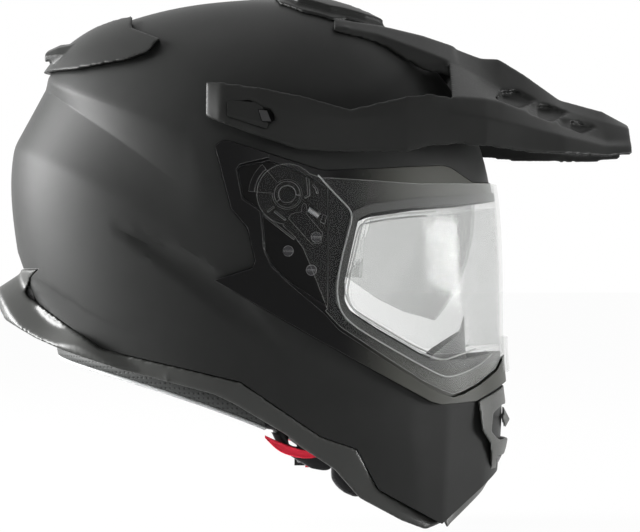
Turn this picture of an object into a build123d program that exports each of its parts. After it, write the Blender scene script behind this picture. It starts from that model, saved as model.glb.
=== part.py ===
from build123d import *
from functools import lru_cache
from math import cos, hypot, radians, sin, sqrt
import os

# Dual sport helmet. The frame has +X to the front, +Y to the wearer's left and +Z up.
# The origin lies where the axis of the visor's pivots crosses the plane of symmetry.

# The helmet as a whole
shell_length = 290.0
shell_height = 323.0
shell_width = 244.0
shell_wall = 4.0
seam = 0.4
clearance = 0.3
overrun = 60.0

# Rear shoulders, lower taper and chin of the shell
shoulder_bite = 7.0
shoulder_turn = 80.0
back_relief = 0.6
taper_inset = 8.0
taper_turn = 75.0
facet_sink = 0.8
scoop_bite = 3.4
scoop_radius = 17.0

# Base trim and its rear lip
trim_wall = 9.0
lip_reach = 15.0
lip_drop = 32.0
lip_turn = 62.0
trim_proud = 0.6

# Eyeport frame
frame_step = 2.0
frame_proud = 4.4
frame_low = 0.9
frame_corner = 3.0

# Visor and fog insert
visor_gap = 2.4
visor_wall = 2.2
ear_radius = 17.5
insert_gap = 1.3
insert_wall = 0.8

# Recess and mechanism of the visor, on each side
recess_floor = 110.0
recess_wall = 2.5
plate_wall = 2.5
ring_bore = 5.0
ring_wall = 2.5
ring_height = 6.5
running_fit = 0.05
boss_length = 11.5
rib_wall = 0.9
rib_height = 3.0
lever_inner = 19.0
lever_outer = 22.5
lever_height = 6.0
lever_plate = 1.5
arm_wall = 4.0
screw_head = 3.0
screw_head_height = 1.6
screw_shank = 1.6
screw_slot = 0.8
spring_radius = 1.35
spring_wire = 0.5
spring_turns = 8.0
spring_free = 1.6

# Peak
peak_wall = 2.5
door_depth = 1.4
door_gap = 0.3
latch_proud = 1.2
louvre_sink = 5.0
blade_wall = 1.6
pin_radius = 4.0
pin_head = 2.0

# Vents and spoiler
vent_rise = 2.2
ridge_rise = 5.6
slider_gap = 1.6
slider_rise = 3.2
fin_rise = 5.2
fin_width = 2.2
spoiler_rise = 4.2
grille_rise = 1.4
chin_rise = 2.4
chin_lip = 3.4

# Lining, sun visor and straps
liner_gap = 0.6
liner_margin = 1.0
chin_liner_wall = 15.0
liner_seam = 0.4
slot_gap = 1.0
sun_radius = 109.5
sun_wall = 2.0
sun_arm_inner = 97.0
sun_hub = 8.0
sun_pin = 3.0
pad_gap = 0.4
crown_pad_wall = 9.0
cheek_inner = 58.0
roll_radius = 9.0
strap_width = 20.0
strap_wall = 1.8


def grid(shares):
    """Points of the side view, given as shares of the shell's length and height."""
    return [(x * shell_length, z * shell_height) for x, z in shares]


# The convex form of the head shell: level sections from the crown to the chin.
# Each row holds the height, the back, the front and the half width of one section.
level_shares = [
    (0.3725, -0.092, -0.012, 0.078),
    (0.363, -0.195, 0.060, 0.240),
    (0.341, -0.308, 0.144, 0.410),
    (0.304, -0.411, 0.224, 0.574),
    (0.255, -0.480, 0.293, 0.721),
    (0.193, -0.528, 0.348, 0.848),
    (0.119, -0.568, 0.391, 0.939),
    (0.038, -0.583, 0.418, 0.988),
    (-0.055, -0.577, 0.430, 1.000),
    (-0.163, -0.556, 0.434, 0.988),
    (-0.272, -0.521, 0.436, 0.951),
    (-0.380, -0.470, 0.447, 0.893),
    (-0.488, -0.401, 0.441, 0.820),
    (-0.640, -0.314, 0.424, 0.721),
]
middle_share = -0.052
middle = middle_share * shell_length


@lru_cache(maxsize=None)
def levels(grow):
    """Height, back, front and half width of each section, moved out along the normal."""
    rows = [
        (z * shell_height, middle - x * shell_length, y * shell_length - middle, w * shell_width / 2)
        for z, x, y, w in level_shares
    ]
    grown = []
    for index, row in enumerate(rows):
        above = rows[max(index - 1, 0)]
        below = rows[min(index + 1, len(rows) - 1)]
        fall = above[0] - below[0]
        spread = sum(below[i] - above[i] for i in (1, 2, 3)) / 3
        slope = hypot(fall, spread)
        out, up = grow * fall / slope, grow * spread / slope
        grown.append((row[0] + up, row[1] + out, row[2] + out, row[3] + out))
    return grown


def section_at(z, grow=0.0):
    """Back reach, front reach and half width of the form at a height."""
    rows = levels(grow)
    for above, below in zip(rows, rows[1:]):
        if above[0] >= z >= below[0]:
            t = (above[0] - z) / (above[0] - below[0])
            return [above[i] + (below[i] - above[i]) * t for i in (1, 2, 3)]
    return rows[0][1:] if z > rows[0][0] else rows[-1][1:]


def half_width(x, z, grow=0.0):
    """Distance of the form's side from the plane of symmetry."""
    back, front, half = section_at(z, grow)
    share = (x - middle) / (front if x > middle else back)
    return half * sqrt(max(0, 1 - share * share))


def reach_at(turn, z, grow=0.0):
    """Distance of the form's surface from its upright middle line, turned from the back."""
    back, front, half = section_at(z, grow)
    along = front if abs(turn) > 90 else back
    return 1 / hypot(cos(radians(turn)) / along, sin(radians(turn)) / half)


@lru_cache(maxsize=None)
def convex(grow):
    """The smooth convex form, grown by a distance."""
    with BuildPart() as solid:
        for z, back, front, half in levels(grow):
            with BuildSketch(Plane.XY.offset(z)):
                with BuildLine():
                    EllipticalCenterArc((middle, 0), front, half, -90, arc_size=180)
                    EllipticalCenterArc((middle, 0), back, half, 90, arc_size=180)
                make_face()
        loft()
    return solid.part


def side_prism(points, near=0.0, far=None, corner=0.0):
    """Prism along Y over an outline of the side view, on both sides or on the right only."""
    with BuildPart() as solid:
        with BuildSketch(Plane.XZ.offset(near)):
            with BuildLine():
                if corner:
                    FilletPolyline(*points, radius=corner, close=True)
                else:
                    Polyline(*points, close=True)
            make_face()
        if far is None:
            extrude(amount=shell_width / 2 + overrun, both=True)
        else:
            extrude(amount=far - near)
    return solid.part


def cut(solid, *tools):
    """The solid less every tool."""
    with BuildPart() as result:
        add(solid)
        add(tools, mode=Mode.SUBTRACT)
    return result.part


def common(solid, *tools):
    """What the solid shares with every tool."""
    with BuildPart() as result:
        add(solid)
        for tool in tools:
            add(tool, mode=Mode.INTERSECT)
    return result.part


def upright_plane(turn):
    """Upright plane through the middle line, its first axis turned from the back."""
    c, s = cos(radians(turn)), sin(radians(turn))
    return Plane((middle, 0, 0), x_dir=(-c, s, 0), z_dir=(s, c, 0))


def ring_loft(turns, outline):
    """Loft through upright outlines of (reach, height) points that stand round the middle."""
    with BuildPart() as solid:
        for turn in turns:
            with BuildSketch(upright_plane(turn)):
                with BuildLine():
                    Polyline(*outline(turn), close=True)
                make_face()
        loft()
    return solid.part


def spread_turns(limit, count):
    """Turns from one side to the other, the same on both."""
    return [limit * i / count for i in range(-count, count + 1)]


def falling_line(start_share, end_share, limit, power):
    """Height of a crease that falls from the back towards each side."""
    return lambda turn: shell_height * (
        start_share + (end_share - start_share) * (abs(turn) / limit) ** power
    )


# Creases of the rear shoulders, from the back to where they fade on each side
shoulder_top = falling_line(0.227, 0.096, 76, 1.3)
shoulder_waist = falling_line(0.203, -0.010, 73, 1.7)
shoulder_foot = falling_line(0.098, -0.082, 71, 1.65)
taper_top = falling_line(-0.092, -0.310, 72, 1.0)


def shoulder_groove(grow):
    """Wedge that is cut round the back: a steep wall above a sloped shoulder."""

    def outline(turn):
        t = abs(turn) / shoulder_turn
        lift = shoulder_bite * t**6 / 2
        top, waist, foot = shoulder_top(turn), shoulder_waist(turn), shoulder_foot(turn)
        bite = shoulder_bite * (1 - t**3) * (1 - back_relief * (1 - t) ** 4)
        apex = (reach_at(turn, waist, grow) - bite + lift, waist)
        upper = (reach_at(turn, top, grow) + lift, top)
        lower = (reach_at(turn, foot, grow) + lift, foot)
        high = (apex[0] + (upper[0] - apex[0]) * 5, apex[1] + (upper[1] - apex[1]) * 5)
        low = (apex[0] + (lower[0] - apex[0]) * 1.7, apex[1] + (lower[1] - apex[1]) * 1.7)
        return [apex, high, (low[0] + overrun, high[1]), (low[0] + overrun, low[1]), low]

    return ring_loft(spread_turns(shoulder_turn, 6), outline)


def lower_taper(grow):
    """Wedge below the lowest crease, where the shell turns in towards its edge."""

    def outline(turn):
        t = abs(turn) / taper_turn
        top = taper_top(turn)
        edge = reach_at(turn, top, grow) + taper_inset * t**6 / 2
        drop = lip_drop
        inset = taper_inset * (1 - t) * 1.6
        return [
            (edge, top), (edge + overrun, top), (edge + overrun, top - drop * 2),
            (edge - inset * 2, top - drop * 2),
        ]

    return ring_loft(spread_turns(taper_turn, 4), outline)


# Side-view outlines on the shell's surface
chin_zone_shares = [
    (0.240, -0.350), (0.289, -0.376), (0.314, -0.383), (0.388, -0.378), (0.452, -0.348),
    (0.600, -0.300), (0.600, -0.750), (0.240, -0.750),
]
chin_facet_shares = [
    [(0.283, -0.389), (0.316, -0.602), (0.329, -0.409)],
    [(0.329, -0.409), (0.320, -0.598), (0.398, -0.424)],
]


def chin_facets(grow):
    """Outer half spaces of the chin's flat facets on both sides, below the eyeport frame."""
    zone = side_prism(grid(chin_zone_shares))
    facets = []
    for side in (-1, 1):
        for shares in chin_facet_shares:
            corners = [
                Vector(x, side * half_width(x, z, grow - facet_sink), z) for x, z in grid(shares)
            ]
            normal = (corners[1] - corners[0]).cross(corners[2] - corners[0])
            if normal.X < 0:
                normal = normal * -1
            with BuildPart() as facet:
                with BuildSketch(Plane(corners[0], z_dir=normal)):
                    Rectangle(shell_height, shell_height)
                extrude(amount=overrun)
            facets.append(common(facet.part, zone))
    return facets


# Path of the side scoop and its depth and radius along the way
scoop_shares = [
    (-0.352, -0.061), (-0.273, -0.098), (-0.190, -0.146), (-0.105, -0.210), (-0.030, -0.270),
    (0.020, -0.310),
]
scoop_size_shares = [0.06, 0.45, 0.85, 1.0, 0.7, 0.12]
scoop_bite_shares = [0.1, 0.9, 1.0, 0.8, 0.3, -0.4]


def side_scoops(grow):
    """Hollow on each side that starts at a sharp tip and fades towards the front."""
    points = grid(scoop_shares)
    heading = Vector(points[-1][0] - points[0][0], 0, points[-1][1] - points[0][1])
    with BuildPart() as scoop:
        for (x, z), size, bite in zip(points, scoop_size_shares, scoop_bite_shares):
            radius = size * scoop_radius
            out = half_width(x, z, grow) + radius - bite * scoop_bite
            with BuildSketch(Plane((x, -out, z), z_dir=heading)):
                Circle(radius)
        loft()
    return [scoop.part, mirror(scoop.part, about=Plane.XZ)]


@lru_cache(maxsize=None)
def shouldered(grow):
    """The form with its rear shoulders and lower taper only, for walls and linings."""
    return cut(convex(grow), shoulder_groove(grow), lower_taper(grow))


# Lower edge of the shell, and everything below it
base_line_shares = [
    (-0.512, -0.134), (-0.532, -0.149), (-0.546, -0.176),
    (-0.538, -0.187), (-0.376, -0.280), (-0.207, -0.313),
    (-0.093, -0.337), (0.066, -0.436), (0.086, -0.443), (0.140, -0.460), (0.185, -0.536), (0.316, -0.604),
]
chin_slope_shares = [(0.316, -0.604), (0.436, -0.514), (0.700, -0.316), (0.700, -0.800)]
below_base = side_prism(
    grid([(-0.800, -0.134)] + base_line_shares + chin_slope_shares[2:] + [(-0.800, -0.800)])
)
chin_slope = side_prism(grid(chin_slope_shares))

# Eyeport frame, seen from the side: its whole outline, the low part that the visor passes
# over, the window round the mechanism and the opening itself
frame_shares = [
    (-0.130, 0.097), (-0.145, 0.086), (-0.112, -0.027), (-0.080, -0.061), (-0.064, -0.120), (-0.070, -0.132),
    (-0.148, -0.154), (0.060, -0.261), (0.289, -0.376), (0.314, -0.383), (0.388, -0.378), (0.452, -0.348),
    (0.600, -0.300), (0.600, 0.028), (0.421, 0.028), (0.380, 0.026), (0.333, 0.052), (0.314, 0.056),
    (0.186, 0.048), (0.070, 0.043), (-0.116, 0.096),
]
channel_shares = [
    (-0.036, 0.066), (-0.094, 0.054), (-0.102, 0.045), (-0.090, -0.009), (-0.054, -0.031), (-0.046, -0.102),
    (-0.032, -0.129), (0.004, -0.161), (0.074, -0.214), (0.104, -0.244), (0.186, -0.293), (0.271, -0.342),
    (0.312, -0.361), (0.337, -0.369), (0.359, -0.364), (0.394, -0.348), (0.433, -0.323), (0.452, -0.296),
    (0.600, -0.280), (0.600, 0.200), (-0.036, 0.200),
]
window_shares = [
    (-0.036, 0.060), (-0.094, 0.050), (-0.100, 0.043), (-0.088, -0.007), (-0.052, -0.029), (-0.044, -0.102),
    (-0.030, -0.129), (0.004, -0.158), (0.082, -0.204), (0.082, 0.012), (0.020, 0.043),
]
opening_shares = [
    (0.141, -0.050), (0.126, -0.110), (0.113, -0.165), (0.114, -0.190), (0.130, -0.216), (0.188, -0.250),
    (0.289, -0.302), (0.360, -0.300),
    (0.600, -0.270), (0.600, -0.006), (0.440, -0.006), (0.359, -0.015), (0.270, -0.020), (0.168, -0.033),
    (0.146, -0.042),
]
frame_zone = side_prism(grid(frame_shares), corner=frame_corner / 3)
channel_zone = side_prism(grid(channel_shares))
window_zone = side_prism(grid(window_shares))
opening_zone = side_prism(grid(opening_shares), corner=frame_corner)

far_out = shell_width / 2 + overrun


def grown_prism(shares, margin, near=0.0, far=None):
    """Prism over an outline of the side view that is moved out by a margin."""
    with BuildPart() as solid:
        with BuildSketch(Plane.XZ.offset(near)):
            with BuildLine():
                Polyline(*grid(shares), close=True)
            make_face()
            if margin:
                offset(amount=margin, kind=Kind.INTERSECTION)
        if far is None:
            extrude(amount=far_out, both=True)
        else:
            extrude(amount=far - near)
    return solid.part


def plan_prism(shares, low, high):
    """Upright prism over the half outline of the top view, mirrored to both sides."""
    half = [(x * shell_length, y * shell_width / 2) for x, y in shares]
    other = [(x, -y) for x, y in reversed(half) if y > 0]
    with BuildPart() as solid:
        with BuildSketch(Plane.XY.offset(low)):
            with BuildLine():
                Polyline(*half, *other, close=True)
            make_face()
        extrude(amount=high - low)
    return solid.part


def plan_side_prism(shares, low, high):
    """Upright prism over an outline of the top view on the right side only."""
    with BuildPart() as solid:
        with BuildSketch(Plane.XY.offset(low)):
            with BuildLine():
                Polyline(*[(x * shell_length, -y * shell_width / 2) for x, y in shares], close=True)
            make_face()
        extrude(amount=high - low)
    return solid.part


def right_plate(points, near, thick, corner=0.0):
    """Flat plate on the right side, from a distance off the plane of symmetry outwards."""
    return side_prism(points, near, near + thick, corner)


def right_disc(centre, radius, near, thick):
    """Round disc on the right side, square to the side view."""
    with BuildPart() as solid:
        with BuildSketch(Plane.XZ.offset(near)):
            with Locations(centre):
                Circle(radius)
        extrude(amount=thick)
    return solid.part


def right_wall(start, end, width, near, thick):
    """Straight upright wall on the right side, from one point of the side view to another."""
    along = Vector(*end) - Vector(*start)
    across = Vector(-along.Y, along.X).normalized() * (width / 2)
    corners = [
        Vector(*start) + across, Vector(*end) + across, Vector(*end) - across, Vector(*start) - across
    ]
    return right_plate([(p.X, p.Y) for p in corners], near, thick)


def joined(first, *others):
    """One solid from several that touch."""
    with BuildPart() as result:
        add(first)
        add(others)
    return result.part


def both_sides(solid):
    """A solid of the right side and its mirror image."""
    return [solid, mirror(solid, about=Plane.XZ)]


def save(piece, name):
    """Label one piece and write it to its file."""
    piece.label = name
    export_step(piece, f"parts/{name}.step")


def save_pair(right, name):
    """Write a piece of the right side and its mirror image on the left."""
    save(right, f"{name}_right")
    save(mirror(right, about=Plane.XZ), f"{name}_left")


os.makedirs("parts", exist_ok=True)

# Outer shell: walls, the step for the eyeport frame and the flat recess for each visor pivot
recess_cups = both_sides(
    common(
        grown_prism(window_shares, recess_wall, recess_floor - recess_wall, far_out), convex(-frame_step)
    )
)
recess_cuts = both_sides(grown_prism(window_shares, 0, recess_floor, far_out))
with BuildPart() as outer_shell:
    add(convex(0.0))
    add([shoulder_groove(0.0), lower_taper(0.0), *chin_facets(0.0), *side_scoops(0.0)], mode=Mode.SUBTRACT)
    add([shouldered(-shell_wall), cut(frame_zone, convex(-frame_step))], mode=Mode.SUBTRACT)
    add(recess_cups)
    add([*recess_cuts, opening_zone, below_base, chin_slope], mode=Mode.SUBTRACT)
save(outer_shell.part, "outer_shell")

# Base trim: a band under the shell's edge that flares into the rear lip
trim_shares = base_line_shares[::-1] + [
    (-0.532, -0.134), (-0.650, -0.134), (-0.650, -0.200),
    (-0.600, -0.225), (-0.520, -0.262), (-0.453, -0.285),
    (-0.335, -0.318), (-0.228, -0.342), (-0.147, -0.361), (-0.105, -0.379), (-0.003, -0.434), (0.025, -0.456),
    (0.094, -0.498), (0.145, -0.552), (0.233, -0.597), (0.282, -0.615), (0.312, -0.606),
]
trim_zone = grown_prism(trim_shares, -seam / 2)
lip_top = falling_line(-0.140, -0.310, lip_turn, 0.75)
lip_height_shares = (0.031, 0.056)


def lip_outline(turn):
    """Upright outline of the rear lip: it stands out most at the back."""
    top = lip_top(turn)
    reach = lip_reach * (1 - (turn / lip_turn) ** 2) + trim_proud / 2
    wall = reach_at(turn, top)
    crest = [top - share * shell_height for share in lip_height_shares]
    return [
        (wall - trim_wall, top), (wall, top), (wall + reach, crest[0]), (wall + reach, crest[1]),
        (wall, top - lip_drop), (wall - trim_wall, top - lip_drop),
    ]


with BuildPart() as base_trim:
    add(convex(trim_proud))
    add(convex(-trim_wall), mode=Mode.SUBTRACT)
    add(ring_loft(spread_turns(lip_turn, 4), lip_outline))
    add(trim_zone, mode=Mode.INTERSECT)
    add(chin_slope, mode=Mode.SUBTRACT)
save(base_trim.part, "base_trim")

# Eyeport frame: a raised rim behind and below the visor, low where the visor passes
with BuildPart() as eyeport_frame:
    add(convex(frame_proud))
    add(convex(-frame_step), mode=Mode.SUBTRACT)
    add(grown_prism(frame_shares, -seam), mode=Mode.INTERSECT)
    add([cut(channel_zone, convex(frame_low)), window_zone, opening_zone], mode=Mode.SUBTRACT)
save(eyeport_frame.part, "eyeport_frame")

# Eyeport gasket: rubber lip round the opening, just inside the closed visor
gasket_width = 5.0
with BuildPart() as eyeport_gasket:
    add(convex(visor_gap - clearance))
    add(convex(frame_low), mode=Mode.SUBTRACT)
    add(grown_prism(opening_shares, gasket_width), mode=Mode.INTERSECT)
    add([opening_zone, grown_prism(window_shares, clearance)], mode=Mode.SUBTRACT)
save(eyeport_gasket.part, "eyeport_gasket")

# Visor: one curved shield with a round ear and a boss at each pivot
visor_shares = [
    (0.070, 0.029), (0.090, 0.029), (0.267, 0.020), (0.420, 0.024), (0.600, 0.024), (0.600, -0.280),
    (0.446, -0.291), (0.429, -0.319), (0.392, -0.343), (0.358, -0.358), (0.337, -0.363), (0.313, -0.355),
    (0.272, -0.336), (0.188, -0.287), (0.106, -0.238), (0.076, -0.209), (0.080, -0.206), (0.058, -0.154),
    (0.032, -0.097), (0.014, -0.075), (-0.008, -0.057), (0.000, 0.000), (0.020, 0.044),
]
with BuildPart() as ear_disc:
    with BuildSketch(Plane.XZ):
        Circle(ear_radius)
    extrude(amount=far_out, both=True)
with BuildPart() as visor_outline:
    add(side_prism(grid(visor_shares)))
    add(ear_disc.part)
with BuildPart() as pivot_boss:
    with BuildSketch(Plane.XZ.offset(recess_floor + plate_wall + clearance)):
        Circle(ring_bore - running_fit)
    extrude(amount=boss_length)
visor_skin = cut(convex(visor_gap + visor_wall), convex(visor_gap))
with BuildPart() as visor:
    add(visor_skin)
    add(visor_outline.part, mode=Mode.INTERSECT)
    add(both_sides(pivot_boss.part))
save(visor.part, "visor")

# Fog insert: a second lens pinned inside the visor
insert_margin = 4.0
with BuildPart() as fog_insert_lens:
    add(convex(insert_gap + insert_wall))
    add(convex(insert_gap), mode=Mode.SUBTRACT)
    add(grown_prism(opening_shares, -insert_margin), mode=Mode.INTERSECT)
save(fog_insert_lens.part, "fog_insert_lens")

# Finger tab at the visor's lower edge, and the two pins behind the fog insert's ends
tab_rise = 2.6
visor_tab_shares = [(0.400, -0.262), (0.600, -0.262), (0.600, -0.318), (0.400, -0.330)]
visor_tab_plan_shares = [(0.300, 0), (0.300, 0.120), (0.440, 0.170), (0.600, 0.170), (0.600, 0)]
with BuildPart() as visor_tab:
    add(convex(visor_gap + visor_wall + tab_rise))
    add(convex(visor_gap + visor_wall), mode=Mode.SUBTRACT)
    add(side_prism(grid(visor_tab_shares)), mode=Mode.INTERSECT)
    add(plan_prism(visor_tab_plan_shares, -shell_height, 0), mode=Mode.INTERSECT)
save(visor_tab.part, "visor_tab")

insert_pin_at = (41.0, -40.0)
insert_pin_radius = 1.7
with BuildPart() as insert_pins:
    add(
        both_sides(
            right_disc(insert_pin_at, insert_pin_radius, recess_floor - recess_wall, far_out - recess_floor)
        )
    )
    add(convex(visor_gap), mode=Mode.INTERSECT)
    add(convex(insert_gap + insert_wall), mode=Mode.SUBTRACT)
save(insert_pins.part, "fog_insert_pins")

# Visor mechanism of the right side, in millimetres of the side view from the pivot; the left is its mirror
plate_face = recess_floor + plate_wall
pivot = (0.0, 0.0)
arm_screw = (16.7, -24.9)
plate_screw = (0.5, -32.9)
corner_screw = (14.0, -44.0)
detent_arm_points = [
    (5.1, -10.6), (2.3, -11.4), (0.5, -13.9), (11.6, -26.2), (14.2, -29.0), (19.8, -28.2), (20.6, -22.4),
    (9.8, -9.8),
]
arm_lug_points = [(8.7, -12.0), (8.0, -8.6), (9.4, -5.0), (11.0, -5.9), (11.6, -9.4), (11.2, -11.6)]
spring_start = (12.4, -8.8)
spring_end = (19.6, -13.5)
spring_post_points = [(20.8, -11.6), (22.9, -12.7), (21.7, -17.3), (19.2, -16.0)]
bracket_points = [(11.0, 9.8), (12.6, 9.0), (13.2, -0.8), (10.2, -2.4), (10.0, -1.4), (11.9, -0.2)]
hook_points = [(15.2, 6.0), (17.6, 3.0), (18.0, 0.6), (17.0, 0.6), (16.4, 3.0), (14.6, 5.2)]
rib_lines = [[(-11.4, -10.1), (-7.8, -7.2)], [(-14.0, -12.0), (4.0, -26.0)], [(-7.4, -9.9), (-1.0, -14.8)]]


def ring_sector(inner, outer, first, last, near, thick):
    """Part of a flat ring round the pivot, between two angles in the side view."""
    with BuildPart() as solid:
        with BuildSketch(Plane.XZ.offset(near)):
            with BuildLine():
                CenterArc((0, 0), outer, first, last - first)
                CenterArc((0, 0), inner, first, last - first)
                for angle in (first, last):
                    c, s = cos(radians(angle)), sin(radians(angle))
                    Line((inner * c, inner * s), (outer * c, outer * s))
            make_face()
        extrude(amount=thick)
    return solid.part


plate_outline = grown_prism(window_shares, -clearance, recess_floor, plate_face)
ring_open = 355.0
ring_end = 215.0
detent_ring = ring_sector(
    ring_bore, ring_bore + ring_wall, ring_open - 360, ring_end, plate_face, ring_height
)
ribs = [right_wall(start, end, rib_wall, plate_face, rib_height) for start, end in rib_lines]
seats = [right_disc(at, screw_head, plate_face, lever_plate) for at in (plate_screw, corner_screw)]
holes = [
    right_disc(at, screw_shank, recess_floor, rib_height * 2)
    for at in (plate_screw, corner_screw, arm_screw)
]
base_plate = cut(
    joined(
        plate_outline, detent_ring, *ribs, *seats,
        right_plate(spring_post_points, plate_face, arm_wall),
        right_plate(bracket_points, plate_face, arm_wall),
        right_plate(hook_points, plate_face, rib_height),
    ),
    *holes,
)
save_pair(base_plate, "visor_base_plate")

# Detent arm on its screw, pressed to the pivot by a coil spring
arm_floor = plate_face + clearance
arm_solid = cut(
    joined(
        right_plate(detent_arm_points, arm_floor, arm_wall),
        right_plate(arm_lug_points, arm_floor, arm_wall),
    ),
    right_disc(arm_screw, screw_shank + running_fit, arm_floor, arm_wall),
)
save_pair(arm_solid, "detent_arm")

spring_middle = arm_floor + arm_wall / 2
spring_axis = Vector(spring_end[0] - spring_start[0], 0, spring_end[1] - spring_start[1])
spring_length = spring_axis.length - spring_free
with BuildPart() as detent_spring:
    with BuildLine():
        coil = Helix(
            pitch=spring_length / spring_turns, height=spring_length, radius=spring_radius,
            center=(spring_start[0], -spring_middle, spring_start[1]), direction=spring_axis,
        )
    with BuildSketch(Plane(origin=coil @ 0, z_dir=coil % 0)):
        Circle(spring_wire / 2)
    sweep(is_frenet=True)
save_pair(detent_spring.part, "detent_spring")

# Release lever: an arc beside the visor's ear on a thin collar round the detent ring
lever_first = 130.0
lever_last = 176.0
collar_outer = ring_bore + ring_wall + ring_wall / 2
release_lever = joined(
    ring_sector(lever_inner, lever_outer, lever_first, lever_last, plate_face + clearance, lever_height),
    ring_sector(
        collar_outer - rib_wall / 2, lever_inner + rib_wall / 2, lever_first, lever_last,
        plate_face + clearance, lever_plate,
    ),
    cut(
        right_disc(pivot, collar_outer, plate_face + clearance, lever_plate),
        right_disc(pivot, ring_bore + ring_wall + running_fit, plate_face + clearance, lever_plate),
    ),
)
save_pair(release_lever, "visor_release_lever")


def slotted_screw(at, seat, depth):
    """Screw with a slotted head that sits on a seat of the right side."""
    head = right_disc(at, screw_head, seat, screw_head_height)
    shank = right_disc(at, screw_shank, seat - depth, depth)
    start, end = (at[0] - screw_head, at[1]), (at[0] + screw_head, at[1])
    slot = right_wall(start, end, screw_slot, seat + screw_head_height - screw_slot, screw_slot)
    return cut(joined(head, shank), slot)


with BuildPart() as base_plate_screws:
    for at in (plate_screw, corner_screw):
        add(both_sides(slotted_screw(at, plate_face + lever_plate, plate_wall + lever_plate)))
    add(
        both_sides(
            slotted_screw(
                arm_screw, arm_floor + arm_wall + clearance, plate_wall + arm_wall + clearance * 2
            )
        )
    )
save(base_plate_screws.part, "base_plate_screws")

# Peak: upright cross sections of its skin, each a station along X with points of the right half.
# Distances off the plane of symmetry are shares of the half width, heights are shares of the shell's.
side_stations = [
    (-0.165, [(0.965, 0.140), (0.950, 0.155), (0.935, 0.172), (0.900, 0.206)]),
    (-0.133, [(1.012, 0.127), (1.007, 0.146), (0.983, 0.170), (0.939, 0.203)]),
    (-0.055, [(1.022, 0.102), (1.015, 0.130), (0.995, 0.160), (0.960, 0.193)]),
    (0.026, [(1.022, 0.078), (1.015, 0.110), (0.995, 0.145), (0.968, 0.179)]),
    (0.125, [(1.010, 0.075), (1.005, 0.105), (0.990, 0.135), (0.968, 0.154)]),
    (0.240, [(0.975, 0.075), (0.968, 0.110), (0.955, 0.142), (0.930, 0.178)]),
    (0.290, [(0.930, 0.087), (0.925, 0.118), (0.912, 0.148), (0.885, 0.183)]),
    (0.345, [(0.880, 0.090), (0.876, 0.116), (0.868, 0.144), (0.820, 0.176)]),
]
brim_stations = [
    (0.330, [(0.890, 0.090), (0.884, 0.146), (0.835, 0.177), (0.385, 0.252), (0.180, 0.284), (0, 0.278)]),
    (0.400, [(0.845, 0.087), (0.826, 0.139), (0.740, 0.175), (0.380, 0.218), (0.180, 0.260), (0, 0.254)]),
    (0.437, [(0.805, 0.083), (0.780, 0.132), (0.680, 0.170), (0.377, 0.198), (0.190, 0.259), (0, 0.250)]),
    (0.491, [(0.745, 0.077), (0.705, 0.122), (0.590, 0.153), (0.360, 0.180), (0.200, 0.229), (0, 0.220)]),
    (0.564, [(0.655, 0.076), (0.610, 0.108), (0.490, 0.130), (0.330, 0.160), (0.190, 0.182), (0, 0.172)]),
    (0.655, [(0.490, 0.075), (0.445, 0.093), (0.370, 0.102), (0.250, 0.140), (0.150, 0.161), (0, 0.150)]),
    (0.712, [(0.385, 0.082), (0.350, 0.094), (0.290, 0.106), (0.190, 0.128), (0.110, 0.134), (0, 0.126)]),
]
arm_stations = [
    (0.094, [(0.515, 0.303), (0.505, 0.312), (0.450, 0.326), (0.420, 0.330)]),
    (0.186, [(0.440, 0.281), (0.430, 0.298), (0.330, 0.318), (0.300, 0.320)]),
    (0.280, [(0.420, 0.232), (0.405, 0.268), (0.250, 0.300), (0.150, 0.303)]),
    (0.345, [(0.410, 0.222), (0.385, 0.246), (0.185, 0.283), (0.110, 0.280)]),
]
louvre_shares = [
    [(0.441, 0.196), (0.474, 0.197), (0.514, 0.179), (0.470, 0.160), (0.421, 0.175)],
    [(0.498, 0.171), (0.537, 0.170), (0.582, 0.157), (0.537, 0.136), (0.488, 0.151)],
    [(0.563, 0.144), (0.645, 0.131), (0.602, 0.116), (0.553, 0.131)],
]
louvre_blade_shares = [(0.424, 0.512), (0.490, 0.580), (0.553, 0.642)]
door_shares = [
    (-0.120, 0.166), (-0.112, 0.169), (-0.064, 0.165), (-0.048, 0.157), (-0.036, 0.124), (-0.042, 0.116),
    (-0.120, 0.139),
]
latch_shares = [(-0.057, 0.151), (-0.040, 0.149), (-0.032, 0.130), (-0.049, 0.130)]
latch_slot_shares = [(-0.057, 0.151), (-0.033, 0.149), (-0.025, 0.130), (-0.049, 0.130)]


def station_points(station, inset=0.0):
    """Points of one cross section in millimetres, moved in along the skin's normals."""
    points = [Vector(-y * shell_width / 2, z * shell_height) for y, z in station[1]]
    moved = []
    for index, point in enumerate(points):
        before = points[index - 1] if index else point
        after = points[index + 1] if index + 1 < len(points) else point
        if index + 1 == len(points) and point.X == 0:
            after = Vector(-before.X, before.Y)
        along = (after - before).normalized()
        moved.append(point + Vector(along.Y, -along.X) * inset)
    return moved


def skin_section(station, outer, inner):
    """Closed outline of the skin between two depths under its outer face."""
    front = station_points(station, outer)
    back = station_points(station, inner)
    if front[-1].X == 0:
        front += [Vector(-p.X, p.Y) for p in front[-2::-1]]
        back += [Vector(-p.X, p.Y) for p in back[-2::-1]]
    return [(-p.X, p.Y) for p in front + back[::-1]]


def skin_loft(stations, outer=0.0, inner=peak_wall):
    """Skin through upright cross sections, with straight facets between them."""
    with BuildPart() as solid:
        for station in stations:
            plane = Plane((station[0] * shell_length, 0, 0), x_dir=(0, -1, 0), z_dir=(-1, 0, 0))
            with BuildSketch(plane):
                with BuildLine():
                    Polyline(*skin_section(station, outer, inner), close=True)
                make_face()
        loft(ruled=True)
    return solid.part


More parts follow.
